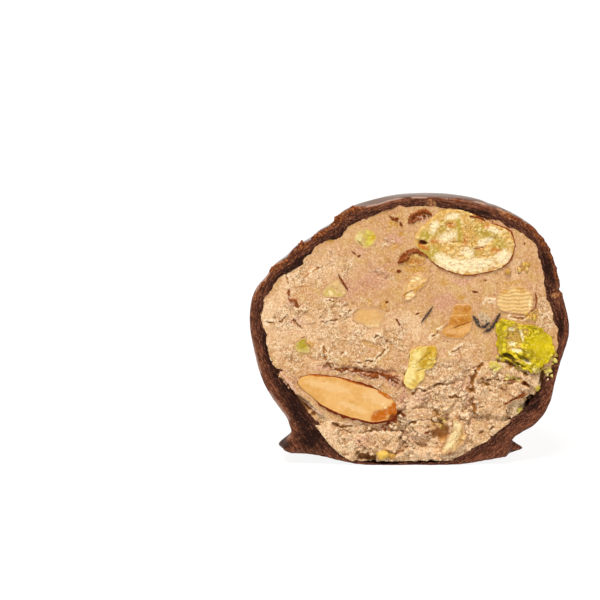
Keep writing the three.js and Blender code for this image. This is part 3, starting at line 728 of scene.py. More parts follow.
amberChip = {
    "node": "amber_chip", "slot": "nut_chip", "around": 140, "rings": 40, "deep": 1.9, "proud": 0,
    "outline": [(5.7, 20.65), (6.9, 20.8), (7.7, 20.6), (7.8, 19.3), (7.8, 17.9), (7.4, 16.95),
                (6.35, 16.3), (4.4, 16.5), (3.9, 17.3), (4.75, 18.1), (4.85, 18.9), (5.3, 19.85)],
    "patches": [(6.2, 18.5, 1.5, 0.5, 5), (6.8, 20.2, 0.9, 0.4, 0)],
    "whites": [(6.7, 17.5, 1.2, 0.45, 22), (6.3, 19.35, 1.4, 0.07, 3), (5.2, 17.3, 0.8, 0.4, 0)],
    "ambers": [(5.4, 16.9, 0.9, 0.3, 20)],
    "pits": [(6.3, 18, 1.4, 0.07, 20, 0.15, 0.3)],
    "rough": 0.12, "lump": 0.9, "jagged": 0.03, "smear": 0.14,
    "look": {**chipLook, "flesh": "#c5822a", "second": "#cf9142", "light": "#e2b06c", "patch": "#b97018",
             "white": "#e2ac6c", "roughness": 0.4},
}
peachChip = {
    "node": "peach_chip", "slot": "nut_chip", "around": 120, "rings": 34, "deep": 1.8, "proud": -0.11,
    "outline": [(-7.3, 18.9), (-6.6, 20.1), (-5.2, 20.4), (-3.6, 20.1), (-3.05, 19.4), (-3.4, 18),
                (-3.9, 17.45), (-5.4, 17.8), (-7.1, 18.5)],
    "patches": [(-4.2, 18.2, 0.8, 0.6, -20)],
    "whites": [(-3.8, 17.8, 0.5, 0.4, 0), (-5, 17.9, 0.5, 0.2, 0)],
    "rough": 0.05, "lump": 1, "jagged": 0.08, "smear": 0.5,
    "look": {**chipLook, "flesh": "#d9a662", "second": "#dfae6e", "patch": "#dcb074", "grainDepth": 0.3},
}
foldedChip = {
    "node": "folded_chip", "slot": "nut_chip", "around": 140, "rings": 40, "deep": 1.7, "proud": 0.03,
    "outline": [(-0.9, 23.2), (0, 24.2), (1, 24.7), (2.2, 24.4), (2.1, 23.35), (1.25, 22.6), (0.5, 21.6),
                (-0.6, 21.2), (-1.1, 21.7), (-1, 22.4)],
    "patches": [(1.3, 22.9, 0.8, 0.35, 35), (-0.7, 22, 0.2, 0.6, -20)],
    "whites": [(0, 21.9, 0.5, 0.35, 20), (0.9, 24, 0.7, 0.2, 20)], "ambers": [(-0.8, 21.6, 0.3, 0.3, 0)],
    "pits": [(-0.2, 22.2, 0.9, 0.07, 30, 0.15, 0.3)],
    "rough": 0.15, "lump": 0.8, "jagged": 0.06, "smear": 0.3, "rolls": {"pitch": 0.62, "depth": 0.045},
    "look": {**chipLook, "flesh": "#e2ac62", "second": "#e8bf82", "patch": "#cf9238"},
}
skinnedChip = {
    "node": "skinned_chip", "slot": "nut_skin", "around": 120, "rings": 30, "deep": 1.4, "proud": -0.04,
    "outline": [(-1.2, 26.2), (-0.6, 26.8), (0.6, 27.2), (1.9, 27), (2.2, 26.5), (1.4, 25.7), (0.3, 25.6),
                (-0.7, 25.7)],
    "skins": [(20, 200, 0.3)], "patches": [(0.6, 26.2, 1, 0.4, 0)], "ambers": [(0, 26.2, 0.4, 0.3, 0)],
    "rough": 0.16, "lump": 0.7, "jagged": 0.06, "smear": 0.3,
    "look": {**chipLook, "flesh": "#b58236", "second": "#c69548", "skin": "#5a200c", "shade": "#84461a"},
}
leftChip = {
    "node": "left_chip", "slot": "nut_chip", "around": 110, "rings": 30, "deep": 1.6, "proud": -0.06,
    "outline": [(-11.2, 22.2), (-10.6, 23), (-9.6, 23.9), (-9, 24.1), (-8.4, 23.3), (-7.8, 22.3),
                (-8.1, 21.7), (-9.4, 21.4), (-10.6, 21.55)],
    "patches": [(-10.3, 22.2, 0.9, 0.5, 20), (-8.6, 21.9, 0.5, 0.3, 0)],
    "whites": [(-9.95, 22.2, 0.3, 0.26, 0)], "pits": [(-9.7, 21.5, 0.9, 0.07, 0, 0.2, 0.4)],
    "rough": 0.14, "lump": 0.8, "jagged": 0.06, "smear": 0.4,
    "look": {**chipLook, "flesh": "#d3ac70", "second": "#dcb880", "patch": "#ccb45a"},
}
paleChip = {
    "node": "pale_chip", "slot": "nut_chip", "around": 140, "rings": 44, "deep": 2.6, "proud": 0.35,
    "outline": [(5.6, 6.1), (6.5, 5.8), (7, 4.8), (7.25, 3.65), (6.5, 2.5), (5.25, 1.75), (4, 1.75),
                (4.5, 2.9), (5, 3.8), (5.4, 4.9)],
    "patches": [(6.8, 3.8, 0.5, 1.3, -20)], "whites": [(5.3, 3.3, 0.5, 1.4, -30), (6, 5.2, 0.4, 0.5, 0)],
    "rough": 0.26, "lump": 0.7, "jagged": 0.09, "smear": 0.3,
    "look": {**chipLook, "flesh": "#dfba7e", "second": "#e8c98e", "patch": "#cfa064"},
}
kernels = [hazelnut, almond, pistachioRight, pistachioCentre, pistachioTop, pistachioLeft, ridgedChip,
           amberChip, peachChip, foldedChip, skinnedChip, leftChip, paleChip]


# Reach at each whole degree, from [degrees, reach] of the points of an outline.
def reachTable(outline):
    spread = sorted(outline)
    spread = [(spread[-1][0] - 360, spread[-1][1])] + spread + [(spread[0][0] + 360, spread[0][1])]
    reach, k = [], 0
    for degree in range(361):
        while spread[k + 1][0] < degree:
            k += 1
        (a, ra), (b, rb) = spread[k], spread[k + 1]
        reach.append(blend(ra, rb, (degree - a) / max(b - a, 1e-6)))
    return reach


# The middle of an outline and its reach round it.
def outlineReach(outline):
    line = [splineAt(outline, k / stationSteps, closed=True) for k in range(len(outline) * stationSteps)]
    middle = sum(line, Vector((0, 0))) / len(line)
    return middle, reachTable([(math.degrees(math.atan2(p.y - middle.y, p.x - middle.x)) % 360,
                                (p - middle).length) for p in line])


def reachIn(table, degrees):
    degrees %= 360
    low = int(degrees)
    return blend(table[low], table[low + 1], degrees - low)


for kernel in kernels:
    kernel["middle"], kernel["reach"] = outlineReach(kernel["outline"])


# Share of the way from a kernel's middle to its edge, and the angle, of a point on the cut face.
def shareOf(kernel, x, z):
    dx, dz = x - kernel["middle"].x, z - kernel["middle"].y
    degrees = math.degrees(math.atan2(dz, dx))
    return math.hypot(dx, dz) / reachIn(kernel["reach"], degrees), degrees


# Thickness of the skin at an angle round the kernel.
def skinAt(kernel, degrees, middle):
    widest = 0.0
    for start, end, width in kernel.get("skins", []):
        turned = (degrees - start) % 360
        whole = end - start >= 360
        if whole or turned < end - start:
            ends = 1.0 if whole else smooth(min(turned, end - start - turned), 0, 12)
            out = Vector((math.cos(math.radians(degrees)), math.sin(math.radians(degrees))))
            widest += width * ends * (1 + 0.8 * lumps(out.x * 4, out.y * 4, 1, middle.x))
    return max(widest, 0)


def makeKernel(kernel):
    bm = bmesh.new()
    bmesh.ops.create_uvsphere(bm, u_segments=kernel["around"], v_segments=kernel["rings"], radius=1)
    layers = {name: bm.verts.layers.float.new(name)
              for name in ("skinShare", "patchShare", "whiteShare", "deepShadeAndBrownShare", "paintedShadeShare", "paintedHighlightShare",
                           "amberShare", "smearShare")}
    faceShare = 0.8  # of the rings lie on the sliced face, the rest behind it
    middle = kernel["middle"]
    front = cutY - kernel["proud"]
    for v in bm.verts:
        ring = math.acos(clamp(v.co.z, -1, 1)) / math.pi
        degrees = math.degrees(math.atan2(v.co.y, v.co.x))
        out = Vector((math.cos(math.radians(degrees)), math.sin(math.radians(degrees))))
        flesh = reachIn(kernel["reach"], degrees)
        rim = middle + out * flesh
        ragged = 1.5 * lumps(rim.x, rim.y, 0.8, middle.x) + lumps(rim.x, rim.y, 0.3, 5.0)
        skin = skinAt(kernel, degrees, middle)
        reach = flesh * (1 + kernel["jagged"] * ragged) + skin
        if ring > faceShare:
            back = (ring - faceShare) / (1 - faceShare) * math.pi / 2
            place = middle + out * reach * math.cos(back)
            v.co = (place.x, front + 0.1 + (kernel["deep"] - 0.1) * math.sin(back), place.y)
            v[layers["skinShare"]] = 1.0 if skin > 0.02 else 0.0
            # the side wall behind the face gets some painted shade
            v[layers["paintedShadeShare"]] = 0.3
            v[layers["smearShare"]] = 0.8 if "smear" in kernel else 0.0
            continue
        share = ring / faceShare
        x, z = middle + out * reach * share
        even = most(kernel.get("smooth", []), x, z)
        rough = kernel["rough"] * (1 - 0.85 * even)
        crumb = crumbs(x, z, kernel["lump"], middle.y)
        relief = rough * (0.55 - crumb) + 0.3 * rough * lumps(x, z, kernel["lump"] * 1.8, 3.0)
        # painted shade in the creases between the crumbs, painted highlight on their tops
        low = (1 - smooth(crumb, 0.1, 0.42)) * smooth(rough, 0.02, 0.3)
        high = smooth(crumb, 0.5, 0.85) * smooth(rough, 0.02, 0.3)
        deep = 0.0
        # a pit's darkness paints shade into it, and for a few pits the brown of their skin
        for *spot, depth, dark in kernel.get("pits", []):
            there = spotShare(spot, x, z)
            relief += depth * there
            deep = max(deep, there * dark)
        if "ridges" in kernel:
            ridges = kernel["ridges"]
            bent = ridges["wander"] * math.sin(x / ridges["length"] * 2 * math.pi) + 0.2 * lumps(x, z, 1.2)
            wave = math.sin((z + bent) / ridges["pitch"] * 2 * math.pi)
            relief += ridges["depth"] * wave
            # painted shade in the troughs of the ridges, painted highlight on their crests
            low = max(low, 0.26 * smooth(wave, 0.3, 1) * smooth(lumps(x, z, 1.1, 6.0), -0.4, 0.2))
            high = max(high, 0.25 * smooth(-wave, 0.3, 1))
        if "rolls" in kernel:
            rolls = kernel["rolls"]
            wave = math.sin((share * reach + 0.3 * lumps(x, z, 0.9)) / rolls["pitch"] * 2 * math.pi)
            relief += rolls["depth"] * wave
            # painted shade in the troughs of the rolls
            low = max(low, 0.35 * smooth(wave, 0.4, 1))
        fromEdge = (1 - share) * reach
        skinned = 1 - smooth(fromEdge, skin * 0.8, skin * 1.2) if skin > 0.02 else 0.0
        relief += (0.1 * smooth(share, 0.9, 1) ** 2 if "skins" in kernel else 0) - 0.06 * skinned
        v.co = (x, front + relief, z)
        v[layers["skinShare"]] = skinned * (0.95 + 0.4 * lumps(x, z, 0.4, 2.0))
        for key, spots in (("patchShare", "patches"), ("whiteShare", "whites"), ("amberShare", "ambers")):
            v[layers[key]] = most(kernel.get(spots, []), x, z, 0.5, 0.5)
        v[layers["deepShadeAndBrownShare"]] = clamp(deep)
        v[layers["paintedShadeShare"]] = clamp(low)
        v[layers["paintedHighlightShare"]] = clamp(high)
        smear = kernel.get("smear", 0)
        smeared = smooth(share, 1 - smear, 1) + smear * 1.2 * lumps(x, z, 0.7, 5) if smear else 0.0
        v[layers["smearShare"]] = clamp(smeared)
    bmesh.ops.recalc_face_normals(bm, faces=bm.faces)
    name = kernel["node"]
    makePiece(name + "Sliced", bm, [nutFlesh(name + "Flesh", kernel["look"])], [name])


for kernel in kernels:
    makeKernel(kernel)


# The filling. Below a line that rises from left to right it broke; at the left and in the middle it
# is torn into plates; elsewhere the knife smeared it. Slabs stand out with a steep, flaky edge.
filling = {
    "cell": 0.1055, "recess": 0.1, "border": 0.35, "margin": 0.6,
    "slabRoom": 5, "kernelRoom": (8, 6),  # farthest from their middle that they can reach
    "socket": 0.9,  # depth of the face under a kernel
    "backFrom": 0.3, "backRings": 8,  # the body behind the face
    "tornLine": [(-19, 7.5), (-15, 6.5), (-10, 5.4), (-4, 5.6), (-1, 8.2), (2, 10.2), (5, 11.6), (8.5, 13),
                 (12, 13.6), (19, 12.6)],
    "tornBlend": 0.6,
    "porous": [(-12.2, 24.8, 3.6, 1.6, 32), (-14, 19.2, 4.5, 3, 0), (-7.5, 15, 7, 3.4, 0),
               (-15.8, 14, 2.4, 4, 0), (-9, 19.5, 3.4, 2, 10), (5.5, 13.4, 3.8, 1.5, 20),
               (-1.5, 16.5, 3, 2.4, 0), (17, 19.6, 1.4, 2.4, 0), (13.5, 25.3, 1.2, 0.9, 20),
               (2, 13, 3.4, 2.4, 0), (-4, 8, 3, 4, 0), (-3.6, 24.6, 1.5, 0.7, -20),
               (-7.6, 25.4, 0.8, 1.6, -30), (-3, 28.6, 1.2, 0.5, 20)],
    "slabs": [
        ([(8, 9.2), (8, 11.1), (8.25, 12.1), (9, 12.85), (9.75, 13.2), (10.9, 13.4), (11.9, 13.2),
          (13.1, 12.6), (14, 12.1), (14.9, 11.4), (15.2, 10.3), (15, 9.3), (14.3, 9), (13, 8.5),
          (12.2, 7.6), (12.2, 6.8), (12.6, 6.4), (10.75, 6.4), (8.6, 6.5), (8.1, 7.5)], 0.6),
        ([(8.2, 5.6), (11.25, 5.7), (12.75, 5.9), (12.25, 5), (11.25, 4.1), (10, 3.2), (8.75, 2.6),
          (7.9, 2.6), (8, 4.2)], 0.25),
        ([(-6.2, 3.9), (-4, 4.3), (-1.4, 4.2), (-1.2, 3), (-1.6, 2.2), (-4, 2), (-6, 2.6)], 0.3),
        ([(-1, 6.9), (1, 7.2), (3.2, 6.9), (3, 6), (1, 5.7), (-0.8, 6)], 0.22),
        ([(0.4, 5.5), (2.4, 5.9), (3.7, 5.2), (3, 4), (1, 4.2)], 0.22)],
    # [x, z, half width, half height, tilt, depth]
    "hollows": [(3.2, 10.2, 1.3, 0.24, 28, 0.3), (15.8, 7.9, 1.2, 1, 35, 2), (16.7, 11, 0.3, 2.2, 4, 1.1),
                (14.6, 10.5, 0.5, 0.3, -30, 0.8), (9.6, 10.6, 0.8, 0.22, -20, 0.45),
                (4, 4.3, 1.1, 1.2, -30, 0.8), (8.8, 6.3, 1.5, 0.22, 12, 0.3),
                (10.4, 4.9, 0.3, 0.18, 0, 0.5), (9.1, 4.3, 0.3, 0.18, 30, 0.5),
                (-13.5, 8.1, 2.6, 0.4, -42, 0.7), (12.6, 13.6, 1.4, 0.22, -28, 0.6),
                (-5, 12.2, 4.4, 0.3, -6, 0.3), (-16.6, 12.2, 0.6, 0.3, -25, 0.5),
                (-5.4, 1.1, 1.1, 0.45, -12, 1.2), (-0.9, 3.9, 0.4, 0.6, -20, 0.5),
                (13.1, 11.3, 1.2, 0.16, 0, 0.4), (12.9, 10.8, 0.8, 0.14, 15, 0.4),
                (5.4, 10.6, 1, 0.22, 15, 0.4), (3.4, 6.6, 0.4, 0.8, 10, 0.4), (-1, 1.9, 0.9, 0.3, 20, 0.5),
                (-8.6, 4.6, 1.3, 0.3, -30, 0.4), (1.5, 2.6, 0.8, 0.25, -20, 0.45),
                (10.75, 10.2, 0.16, 0.12, 0, 0.4), (11.6, 10, 0.16, 0.12, 0, 0.4),
                (10.1, 9.7, 0.16, 0.12, 0, 0.4), (9, 7.6, 0.24, 0.12, 20, 0.4)],
    "swells": [(-2, 1.2, 6, 1, 0, 0.4), (-9.5, 3.4, 4, 1.6, -20, 0.3)],
    # [line of points, width, depth]
    "cracks": [
        ([(-18, 18.6), (-17.6, 18.35), (-17.25, 18.35), (-16.9, 18.75), (-16.75, 19)], 0.1, 0.3),
        ([(-16.5, 18.5), (-16, 18.45), (-15.75, 19), (-15.5, 19.25)], 0.06, 0.2),
        ([(-14.6, 19), (-14.4, 18.5), (-14, 18.1), (-13.6, 17.7), (-13.3, 17.7)], 0.08, 0.25),
        ([(-11.25, 18.75), (-10.9, 18.5), (-10.25, 18.6), (-9.6, 18.6), (-8.9, 18.7)], 0.07, 0.2),
        ([(-8.7, 19.2), (-8.4, 19.1), (-8, 19.6), (-7.4, 19.9)], 0.09, 0.25),
        ([(-10.75, 15.4), (-10.75, 14.4), (-10.6, 13.6)], 0.12, 0.2),
        ([(-10.5, 13.4), (-10, 12.75), (-9.5, 12.5), (-8.1, 12.2)], 0.06, 0.2),
        ([(-6.6, 13.35), (-6, 13.25), (-5.5, 13.5), (-4.9, 13.35), (-4.25, 13.6), (-4, 14), (-3.5, 14.4),
          (-3, 14.9), (-2.6, 15.3)], 0.055, 0.25),
        ([(-5.9, 12.7), (-5.2, 12.9)], 0.06, 0.25),
        ([(-4.5, 16.4), (-4.1, 16.7), (-3.4, 16.45)], 0.07, 0.25),
        ([(-3, 16.2), (-2.75, 15.8), (-2.2, 16)], 0.1, 0.2),
        ([(-2, 15.4), (-1.6, 15.7)], 0.08, 0.3),
        ([(-12.4, 17.95), (-11.7, 17.95)], 0.06, 0.2),
        ([(-8.75, 14.25), (-8.2, 14.5)], 0.06, 0.2),
        ([(-13.75, 23.85), (-12.9, 24.4), (-12.1, 24.9), (-11.4, 25.4), (-10.9, 25.5)], 0.04, 0.12),
        ([(-15.4, 24.9), (-15.4, 24.1), (-15.2, 23.4)], 0.07, 0.2),
        ([(-10.5, 21.2), (-10, 21.1), (-9.3, 21.2)], 0.06, 0.25),
        ([(5.2, 14.6), (5.8, 14.8), (6.6, 15.4)], 0.06, 0.2),
        ([(3, 10.1), (3.5, 10.6), (4.2, 10.4), (4.8, 11.1)], 0.07, 0.25),
        ([(12.6, 19.1), (13.6, 18.9), (14.6, 19)], 0.06, 0.2),
        ([(3.9, 17.6), (3.2, 16.8), (2.7, 16.5)], 0.05, 0.2),
        ([(9, 21.1), (9.6, 21.3), (10.8, 21.1)], 0.05, 0.15),
        ([(9.3, 13.1), (8.3, 12.2), (7.8, 10.8), (7.75, 9.2), (8, 7.8), (8.5, 6.5)], 0.3, 0.2),
        ([(11.9, 13.5), (12.8, 12.9), (13.8, 12.4), (14.8, 11.6)], 0.14, 0.3),
        ([(8.9, 11.4), (9.7, 11.1), (10.6, 11.3), (11.4, 10.9)], 0.08, 0.3),
        ([(0.4, 9.2), (1.2, 9.9), (2.2, 9.4)], 0.1, 0.25),
        ([(4.6, 8.6), (5.6, 8.9), (6.6, 8.5)], 0.1, 0.3),
        ([(-1.4, 5.6), (-0.2, 5.3), (1, 5.6)], 0.08, 0.3),
        ([(-6.3, 4.1), (-4.6, 4.5), (-2.8, 4.4)], 0.06, 0.2),
        ([(-9.8, 5.6), (-8.6, 4.9), (-7.2, 5)], 0.08, 0.25)],
    "ambers": [(4.3, 23.5, 0.5, 0.4, 0), (-9.9, 29, 0.5, 0.35, 20), (-5, 21, 0.3, 0.4, 0),
               (-3.2, 20.7, 0.5, 0.5, 0), (-2, 28.1, 0.4, 0.4, 0), (-1.2, 29.7, 0.5, 0.3, 0),
               (12.6, 23.5, 1.1, 0.25, 5), (13.4, 22.8, 0.5, 0.4, 0), (14.2, 25.4, 0.8, 0.5, 30),
               (15.5, 19.4, 1, 0.7, 0), (-2.2, 31, 0.6, 0.5, 0), (0.6, 25.3, 1.3, 0.6, 0),
               (-13.2, 15.2, 1.3, 1, 0), (4.1, 3.4, 0.5, 0.5, 0), (0.1, 24.2, 0.3, 0.3, 0),
               (-1.3, 24.2, 0.4, 0.4, 0), (9.6, 10.4, 0.5, 0.5, 0), (3.6, 6.2, 0.7, 1, -30),
               (13.6, 11.2, 0.9, 0.3, -20), (6.3, 21.6, 0.6, 0.3, 0)],
    "stains": [(-1.4, 24.9, 0.32, 0.26, 0), (-7, 27.2, 0.7, 0.1, -42), (1, 32.3, 0.7, 0.22, 25),
               (0.4, 31.6, 0.3, 0.5, -10), (1.9, 32.4, 0.6, 0.2, -25), (-2, 31.6, 0.5, 0.2, 0),
               (-1.2, 31, 0.2, 0.4, 10), (8.2, 31.8, 0.7, 0.5, -20), (-4.6, 11.9, 3.6, 0.11, -8),
               (-2.2, 11, 1.3, 0.13, -30), (13.3, 8.8, 1.5, 0.14, 28), (2.1, 4.2, 0.3, 0.2, 0),
               (-0.3, 3.1, 0.3, 0.2, 0), (-2.9, 21, 0.2, 0.2, 0), (-1.1, 6.6, 0.5, 0.4, -10),
               (-13.2, 16.5, 0.14, 0.14, 0), (-9.7, 15.8, 0.12, 0.2, 0), (0.9, 19.5, 0.3, 0.1, 20),
               (8.3, 22.3, 0.45, 0.14, -10), (14.2, 28.4, 0.12, 0.2, 0), (9.4, 23.8, 0.3, 0.12, 0),
               (14.6, 10.5, 0.3, 0.2, -20), (-14.1, 20.6, 0.2, 0.4, 30), (12.6, 11.1, 1.2, 0.1, 5),
               (-16.4, 12.3, 0.4, 0.2, -30), (-6.4, 26.9, 0.2, 0.12, 0)],
    # the pink strip at x 7.6 down the slab's left edge is painted shade
    "pinks": [(-5.2, 12.1, 3.6, 0.5, -8), (-2, 10.9, 1.7, 0.8, -25), (-0.8, 8.4, 0.6, 1.4, -10),
              (-2.8, 4.9, 1.6, 0.3, 15), (-10.6, 12.5, 1.6, 0.4, 0), (6.6, 10.6, 0.9, 0.8, 0),
              (1.3, 31.6, 0.7, 0.5, 10), (-14.9, 20.9, 0.6, 0.7, 0), (-6.4, 27.6, 0.6, 0.4, -30),
              (13.6, 9.3, 1.2, 0.3, 20), (0.6, 3.6, 1.5, 0.6, 0), (-14.2, 18.6, 1, 0.6, 0),
              (7.6, 9.4, 0.5, 2.4, 0), (-4.6, 24, 2.2, 1.4, 30), (4.4, 21, 1.6, 1, 0),
              (-8, 22.6, 1, 1.6, 0), (-2, 29, 1.4, 0.7, 0), (6.6, 23.6, 1.2, 0.5, 10),
              (1.6, 8.6, 1.6, 0.8, 0), (-6, 3.2, 1.4, 0.6, 0)],
    "greys": [(9.2, 18.8, 0.8, 0.7, 0), (-12.6, 7.6, 3, 0.45, -40), (13.8, 7.3, 1.2, 0.8, 0)],
}
slabShapes = [(*outlineReach(outline), rise) for outline, rise in filling["slabs"]]


def tornShare(x, z):
    line = filling["tornLine"]
    k = 0
    while k < len(line) - 2 and line[k + 1][0] < x:
        k += 1
    (ax, az), (bx, bz) = line[k], line[k + 1]
    edge = blend(az, bz, clamp((x - ax) / (bx - ax))) + 0.7 * lumps(x, z, 1.5, 15.0)
    return 1 - smooth(z, edge - filling["tornBlend"], edge + filling["tornBlend"])


# How far a slab stands out of the face here, and the share of its lip.
def slabRise(x, z):
    raised, edge = 0.0, 0.0
    for middle, reach, rise in slabShapes:
        dx, dz = x - middle.x, z - middle.y
        if abs(dx) < filling["slabRoom"] and abs(dz) < filling["slabRoom"]:
            degrees = math.degrees(math.atan2(dz, dx)) % 360
            share = math.hypot(dx, dz) / reach[int(degrees)]
            share += 0.1 * lumps(x, z, 0.7, 7.0) + 0.05 * lumps(x, z, 0.25)
            inside = 1 - smooth(share, 0.93, 1.03)
            if inside > 0:
                raised, edge = rise * inside, inside * smooth(share, 0.72, 0.93)
    return raised, edge


# Plates: nearly level, with a crumbled edge here and there. Like the next function it returns the depth,
# the shares of painted shade in the creases and painted highlight on the tops, the roughness and a tint.
def plateRelief(x, z, plated, flat, fine):
    height, edge, tint = facets(x, z, 3.4, 2.0)
    small, smallEdge, _ = facets(x, z, 0.9, 6.0)
    worn = max(smooth(lumps(x, z, 1.9, 9.0), -0.15, 0.2), 0.5 * flat)
    crease = edge * smooth(lumps(x, z, 0.9, 17.0), -0.1, 0.25)
    crumbled = worn * (0.1 * small + 0.16 * (0.5 - fine))
    depth = plated * (0.14 * height + 0.05 * small + crumbled + 0.12 * crease)
    low = plated * max(0.45 * crease, 0.7 * worn * (1 - smooth(fine, 0.1, 0.28)))
    high = plated * worn * max(0.6 * smooth(fine, 0.45, 0.7), 0.3 * smallEdge)
    return depth, low, high, plated * (0.3 + 0.65 * worn), tint


# Broken ground: leaning facets with rubble between them.
def brokenRelief(x, z, broken):
    height, edge, tint = facets(x, z, 2.6, 1.5)
    mid = crumbs(x, z, 1.1, 2.5)
    grains = crumbs(x, z, 0.5, 8.5, 3)
    rubble = smooth(lumps(x, z, 2, 6.0) + 0.25 * edge, -0.3, 0.15)
    relief = 0.2 * lumps(x, z, 3, 4.0) + 0.36 * height + (0.12 + 0.36 * rubble) * (0.5 - mid)
    depth = broken * (relief + (0.06 + 0.18 * rubble) * (0.45 - grains) + 0.1)
    low = broken * max(0.25 * edge, (0.15 + 0.45 * rubble) * (1 - smooth(mid, 0.12, 0.3)),
                       (0.15 + 0.5 * rubble) * (1 - smooth(grains, 0.1, 0.26)))
    high = broken * max((0.25 + 0.5 * rubble) * smooth(mid, 0.45, 0.7),
                        (0.2 + 0.5 * rubble) * smooth(grains, 0.42, 0.7))
    return depth, low, high, broken * (0.6 + 0.4 * rubble), tint


def nearLine(line, x, z, room=1):
    across, up = zip(*line)
    return min(across) - room < x < max(across) + room and min(up) - room < z < max(up) + room


# A crack that wanders, opens and closes: the share of it here, the distance from it and its opening.
def crackAt(line, width, x, z):
    bend = 0.2 * noise.noise_vector(Vector((x / 0.4, 1.0, z / 0.4)))
    away, where = lineDistance(line, x + bend.x, z + bend.z)
    opening = 1.3 * width * smooth(min(where, 1 - where), -0.1, 0.15) * (1 + 1.6 * lumps(x, z, 0.5, 3.0))
    opening *= smooth(lumps(x, z, 0.8, 21.0), -0.45, -0.1)
    there = 1 - smooth(away, opening * 0.4, opening * 1.6 + 1e-4) if opening > 0.01 else 0.0
    return there, away, opening


# How far the filling lies behind the cut, and the shares of its looks there: painted shade, painted
# highlight, darker painted shade in hollows and cracks, roughness and tone.
def fillingRelief(x, z):
    torn = tornShare(x, z)
    porous = most(filling["porous"], x, z, soft=0.6) * (1 - torn)
    raised, lip = slabRise(x, z)
    flat = smooth(raised, 0.05, 0.3)
    fine = crumbs(x, z, 0.7, 5.0, 3)
    depth = filling["recess"] + 0.06 * lumps(x, z, 4, 1.0) + 0.03 * lumps(x, z, 1, 2.0)
    smeared = 1 - max(torn, porous)
    drawn = smooth(lumps(x, z, 3, 19.0), -0.3, 0.3)
    depth += smeared * (0.022 * drawn * lumps(x, z * 0.12, 0.4, 3.0) + 0.04 * (0.5 - fine))
    speck = smooth(lumps(x, z, 0.5, 14.0), 0.42, 0.55) * smooth(lumps(x, z, 3, 16.0), -0.1, 0.3)
    depth += 0.08 * speck
    low, high, deep, tint, rough = 0.35 * speck, 0.0, 0.0, 0.0, 0.0
    plated, broken = max(porous, 0.9 * flat), torn * (1 - 0.9 * flat)
    grounds = []
    if plated > 0.02:
        grounds.append(plateRelief(x, z, plated, flat, fine))
    if broken > 0.02:
        grounds.append(brokenRelief(x, z, broken))
    for groundDepth, groundLow, groundHigh, groundRough, tint in grounds:
        depth += groundDepth
        low, high, rough = max(low, groundLow), max(high, groundHigh), max(rough, groundRough)
    depth -= raised
    # painted highlight on the lips of slabs and cracks; painted shade, and darker painted shade, in hollows
    # and cracks
    high = max(high, 0.5 * lip * smooth(lumps(x, z, 0.8, 11.0), -0.2, 0.3))
    for *spot, drop in filling["hollows"]:
        there = spotShare(spot, x, z, soft=0.5, wander=0.8)
        depth += drop * there
        low = max(low, 0.9 * there * clamp(drop * 1.4))
        deep = max(deep, there * clamp(0.6 * drop - 0.5))
    for *spot, rise in filling["swells"]:
        depth -= rise * spotShare(spot, x, z, soft=0.2, wander=0.3)
    for line, width, drop in filling["cracks"]:
        if nearLine(line, x, z):
            there, away, opening = crackAt(line, width, x, z)
            depth += drop * there - 0.05 * (1 - smooth(away, opening, opening + 0.35))
            low = max(low, there)
            deep = max(deep, 0.6 * there * clamp(drop * 2 - 0.2))
            lipped = 1 - smooth(abs(away - opening - 0.18), 0, 0.24)
            high = max(high, lipped * smooth(lumps(x, z, 0.6, 18.0), -0.2, 0.1))
    return depth, low, high, deep, rough, max(0.75 * broken, 0.36 * plated) + 1.2 * tint


# Distance inside the cavity's outline at the cut, positive inwards.
def insideShell(x, z):
    dz = z - shell["middle"]
    return reachIn(cavityReaches, math.degrees(math.atan2(dz, x))) - math.hypot(x, dz)


# Reach of the shell's inner or outer outline at the cut, at each whole degree round its middle.
def sectionTable(name):
    outline = []
    for side, sign in (("Right", 1), ("Left", -1)):
        stations = shell[name + side]
        for k in range((len(stations) - 1) * stationSteps + 1):
            p = splineAt(stations, k / stationSteps)
            radius = max(p.x, 0)
            lift = liftAt(0 if sign > 0 else math.pi, 1 if sign > 0 else 0, radius, p.y)
            out = Vector((sign * radius, p.y + lift - shell["middle"]))
            outline.append((math.degrees(math.atan2(out.y, out.x)) % 360, out.length))
    return reachTable(outline)


cavityReaches = sectionTable("inner")
outerReaches = sectionTable("outer")


pasteShares = ("paintedShadeShare", "paintedHighlightShare", "deepShadeAndBrownShare", "stainShare", "pinkShare", "amberShare", "greyShare",
               "toneShare", "roughShare")


